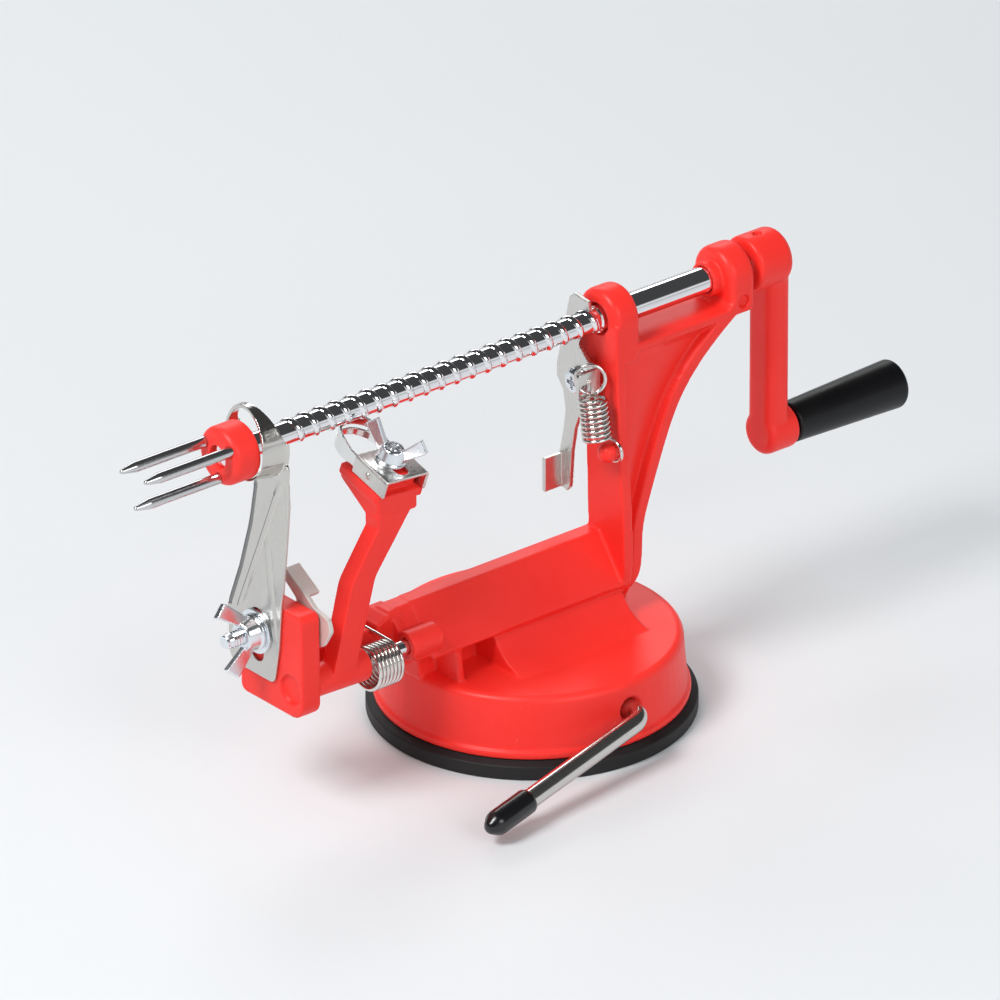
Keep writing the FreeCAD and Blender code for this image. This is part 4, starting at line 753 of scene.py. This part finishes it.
def make_stud():
    """The stud's thread in rings, with a plain turned end."""
    profile = [(0, 2.2)]
    for ring in range(int((STUD_LONG - 2.0) / STUD_PITCH)):
        low = 0.4 + ring * STUD_PITCH
        profile += [(low, STUD_CORE), (low + 0.35, STUD_CREST), (low + 0.6, STUD_CREST)]
    profile += [(STUD_LONG - 1.5, 2.25), (STUD_LONG - 0.3, 2.25), (STUD_LONG, 1.95)]
    making = Making()
    making.turned(laid(STUD + STUD_ROOT, (-1, 0, 0)), profile, 48)
    return making.piece("ringed_stud", 35)


# Springs that reach from one body to the next

def make_spring(name, label, thicker):
    """The wound wire as one piece, made a little thicker."""
    piece = copy_of(name, label)
    swell = piece.modifiers.new("swell", "DISPLACE")
    swell.mid_level = 0.0
    swell.strength = thicker * MM
    settle(piece)
    for face in piece.data.polygons:
        face.use_smooth = True
    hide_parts(name)
    dress(piece, name)
    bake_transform(piece)


SLOT_OF = {row["node"]: row["material_slot"] for row in frame["record"]["subparts"]}
SOFTENED = (
    ("crank_arm", "moulded_crank", 0.40 * MM, 6),
    ("peel_arm", "moulded_arm", 0.32 * MM, 4),
    ("fork_hub", "moulded_hub", 0.2 * MM, 3),
    ("thread_lever", "stamped_lever", 0.16 * MM, 2),
    ("catch_lever", "stamped_catch", 0.16 * MM, 2),
    ("blade_holder", "stamped_holder", 0.15 * MM, 2),
    ("peeler_blade", "bent_hoop", 0.13 * MM, 2),
    ("thread_lever_screw", "pan_screw", 0.14 * MM, 2),
)
REMADE = (
    ("frame", make_frame),
    ("feed_shaft", make_shaft),
    ("fork_prongs", make_prongs),
    ("lever_cap", make_cap),
    ("peeler_wing_nut", make_peeler_nut),
    ("slicer_wing_nut", make_slicer_nut),
    ("slicer_stud", make_stud),
    ("slicer_blade", make_slicer_blade),
)

make_camera()
for name, node in nodes.items():
    dress(node, name)
for name, label, grid, rounds in SOFTENED:
    take_over(moulded(name, label, grid, rounds), name)
for name, make in REMADE:
    take_over(make(), name)
make_spring("tension_spring", "lever_spring",
            0.07)
make_spring("torsion_spring", "arm_spring",
            0.10)


# Studio: a pale floor, a plain world and three soft lamps

FLOOR_DARK = (0.695, 0.715, 0.73, 1)
FLOOR_LIGHT = (0.72, 0.74, 0.755, 1)
SKY = (0.96, 0.98, 1.0, 1)
SKY_LIGHT = 0.48               # what the plain world lends the shadows
SKY_SEEN = 0.49                # what it adds where the camera sees it
CEILING = (0.10, 0.26)         # a mirror sees the world go dark between these rises
CEILING_LOW, CEILING_HIGH = 0.92, 0.06
LAMP_AIM = Vector((0, 0, 0.07))


def make_floor():
    """The pale floor the tool stands on."""
    bpy.ops.mesh.primitive_circle_add(vertices=96, radius=14, fill_type="NGON")
    floor = bpy.context.object
    floor.name = "floor"
    material, g, shader = new_finish("floor_pale")
    place = g.add("ShaderNodeTexCoord").outputs["Object"]
    tone = g.spread(g.noise(place, 0.6), 0.3, 0.7)
    tint = g.mix(tone, FLOOR_DARK, FLOOR_LIGHT)
    g.tree.links.new(tint, shader.inputs["Base Color"])
    shader.inputs["Roughness"].default_value = 0.6
    floor.data.materials.append(material)


def make_world():
    """A plain pale world; mirrors see a dark ceiling over it."""
    world = bpy.data.worlds.new("studio")
    world.use_nodes = True
    scene.world = world
    g = Graph(world.node_tree)
    shader = world.node_tree.nodes["Background"]
    way = g.add("ShaderNodeTexCoord").outputs["Generated"]
    rise = g.add("ShaderNodeSeparateXYZ", {0: way}).outputs["Z"]
    ceiling = g.spread(rise, *CEILING, CEILING_LOW, CEILING_HIGH)
    paths = g.add("ShaderNodeLightPath").outputs
    glossy = g.math("MAXIMUM", paths["Is Glossy Ray"], paths["Is Transmission Ray"])
    plain = g.math("ADD", g.math("MULTIPLY", paths["Is Camera Ray"], SKY_SEEN), SKY_LIGHT)
    seen = g.math("MULTIPLY", ceiling, glossy)
    rest = g.math("MULTIPLY", plain, g.math("SUBTRACT", 1.0, glossy))
    shader.inputs["Color"].default_value = SKY
    world.node_tree.links.new(g.math("ADD", seen, rest), shader.inputs["Strength"])


def make_lamp(name, place, size, power):
    """A rectangular lamp that looks at the middle of the tool."""
    lamp = bpy.data.objects.new(name, bpy.data.lights.new(name, "AREA"))
    lamp.data.shape = "RECTANGLE"
    lamp.data.size, lamp.data.size_y = size
    lamp.data.energy = power
    aim = LAMP_AIM - Vector(place)
    lamp.rotation_euler = aim.to_track_quat("-Z", "Y").to_euler()
    lamp.location = place
    scene.collection.objects.link(lamp)


make_floor()
make_world()
make_lamp("key_lamp", (-1.25, -0.05, 1.6), (0.7, 0.7), 28)
make_lamp("fill_lamp", (-0.1, -1.7, 1.0), (1.1, 0.8), 10)
make_lamp("back_lamp", (0.7, 1.5, 1.1), (1.4, 0.6), 9)

scene.view_settings.view_transform = "Standard"
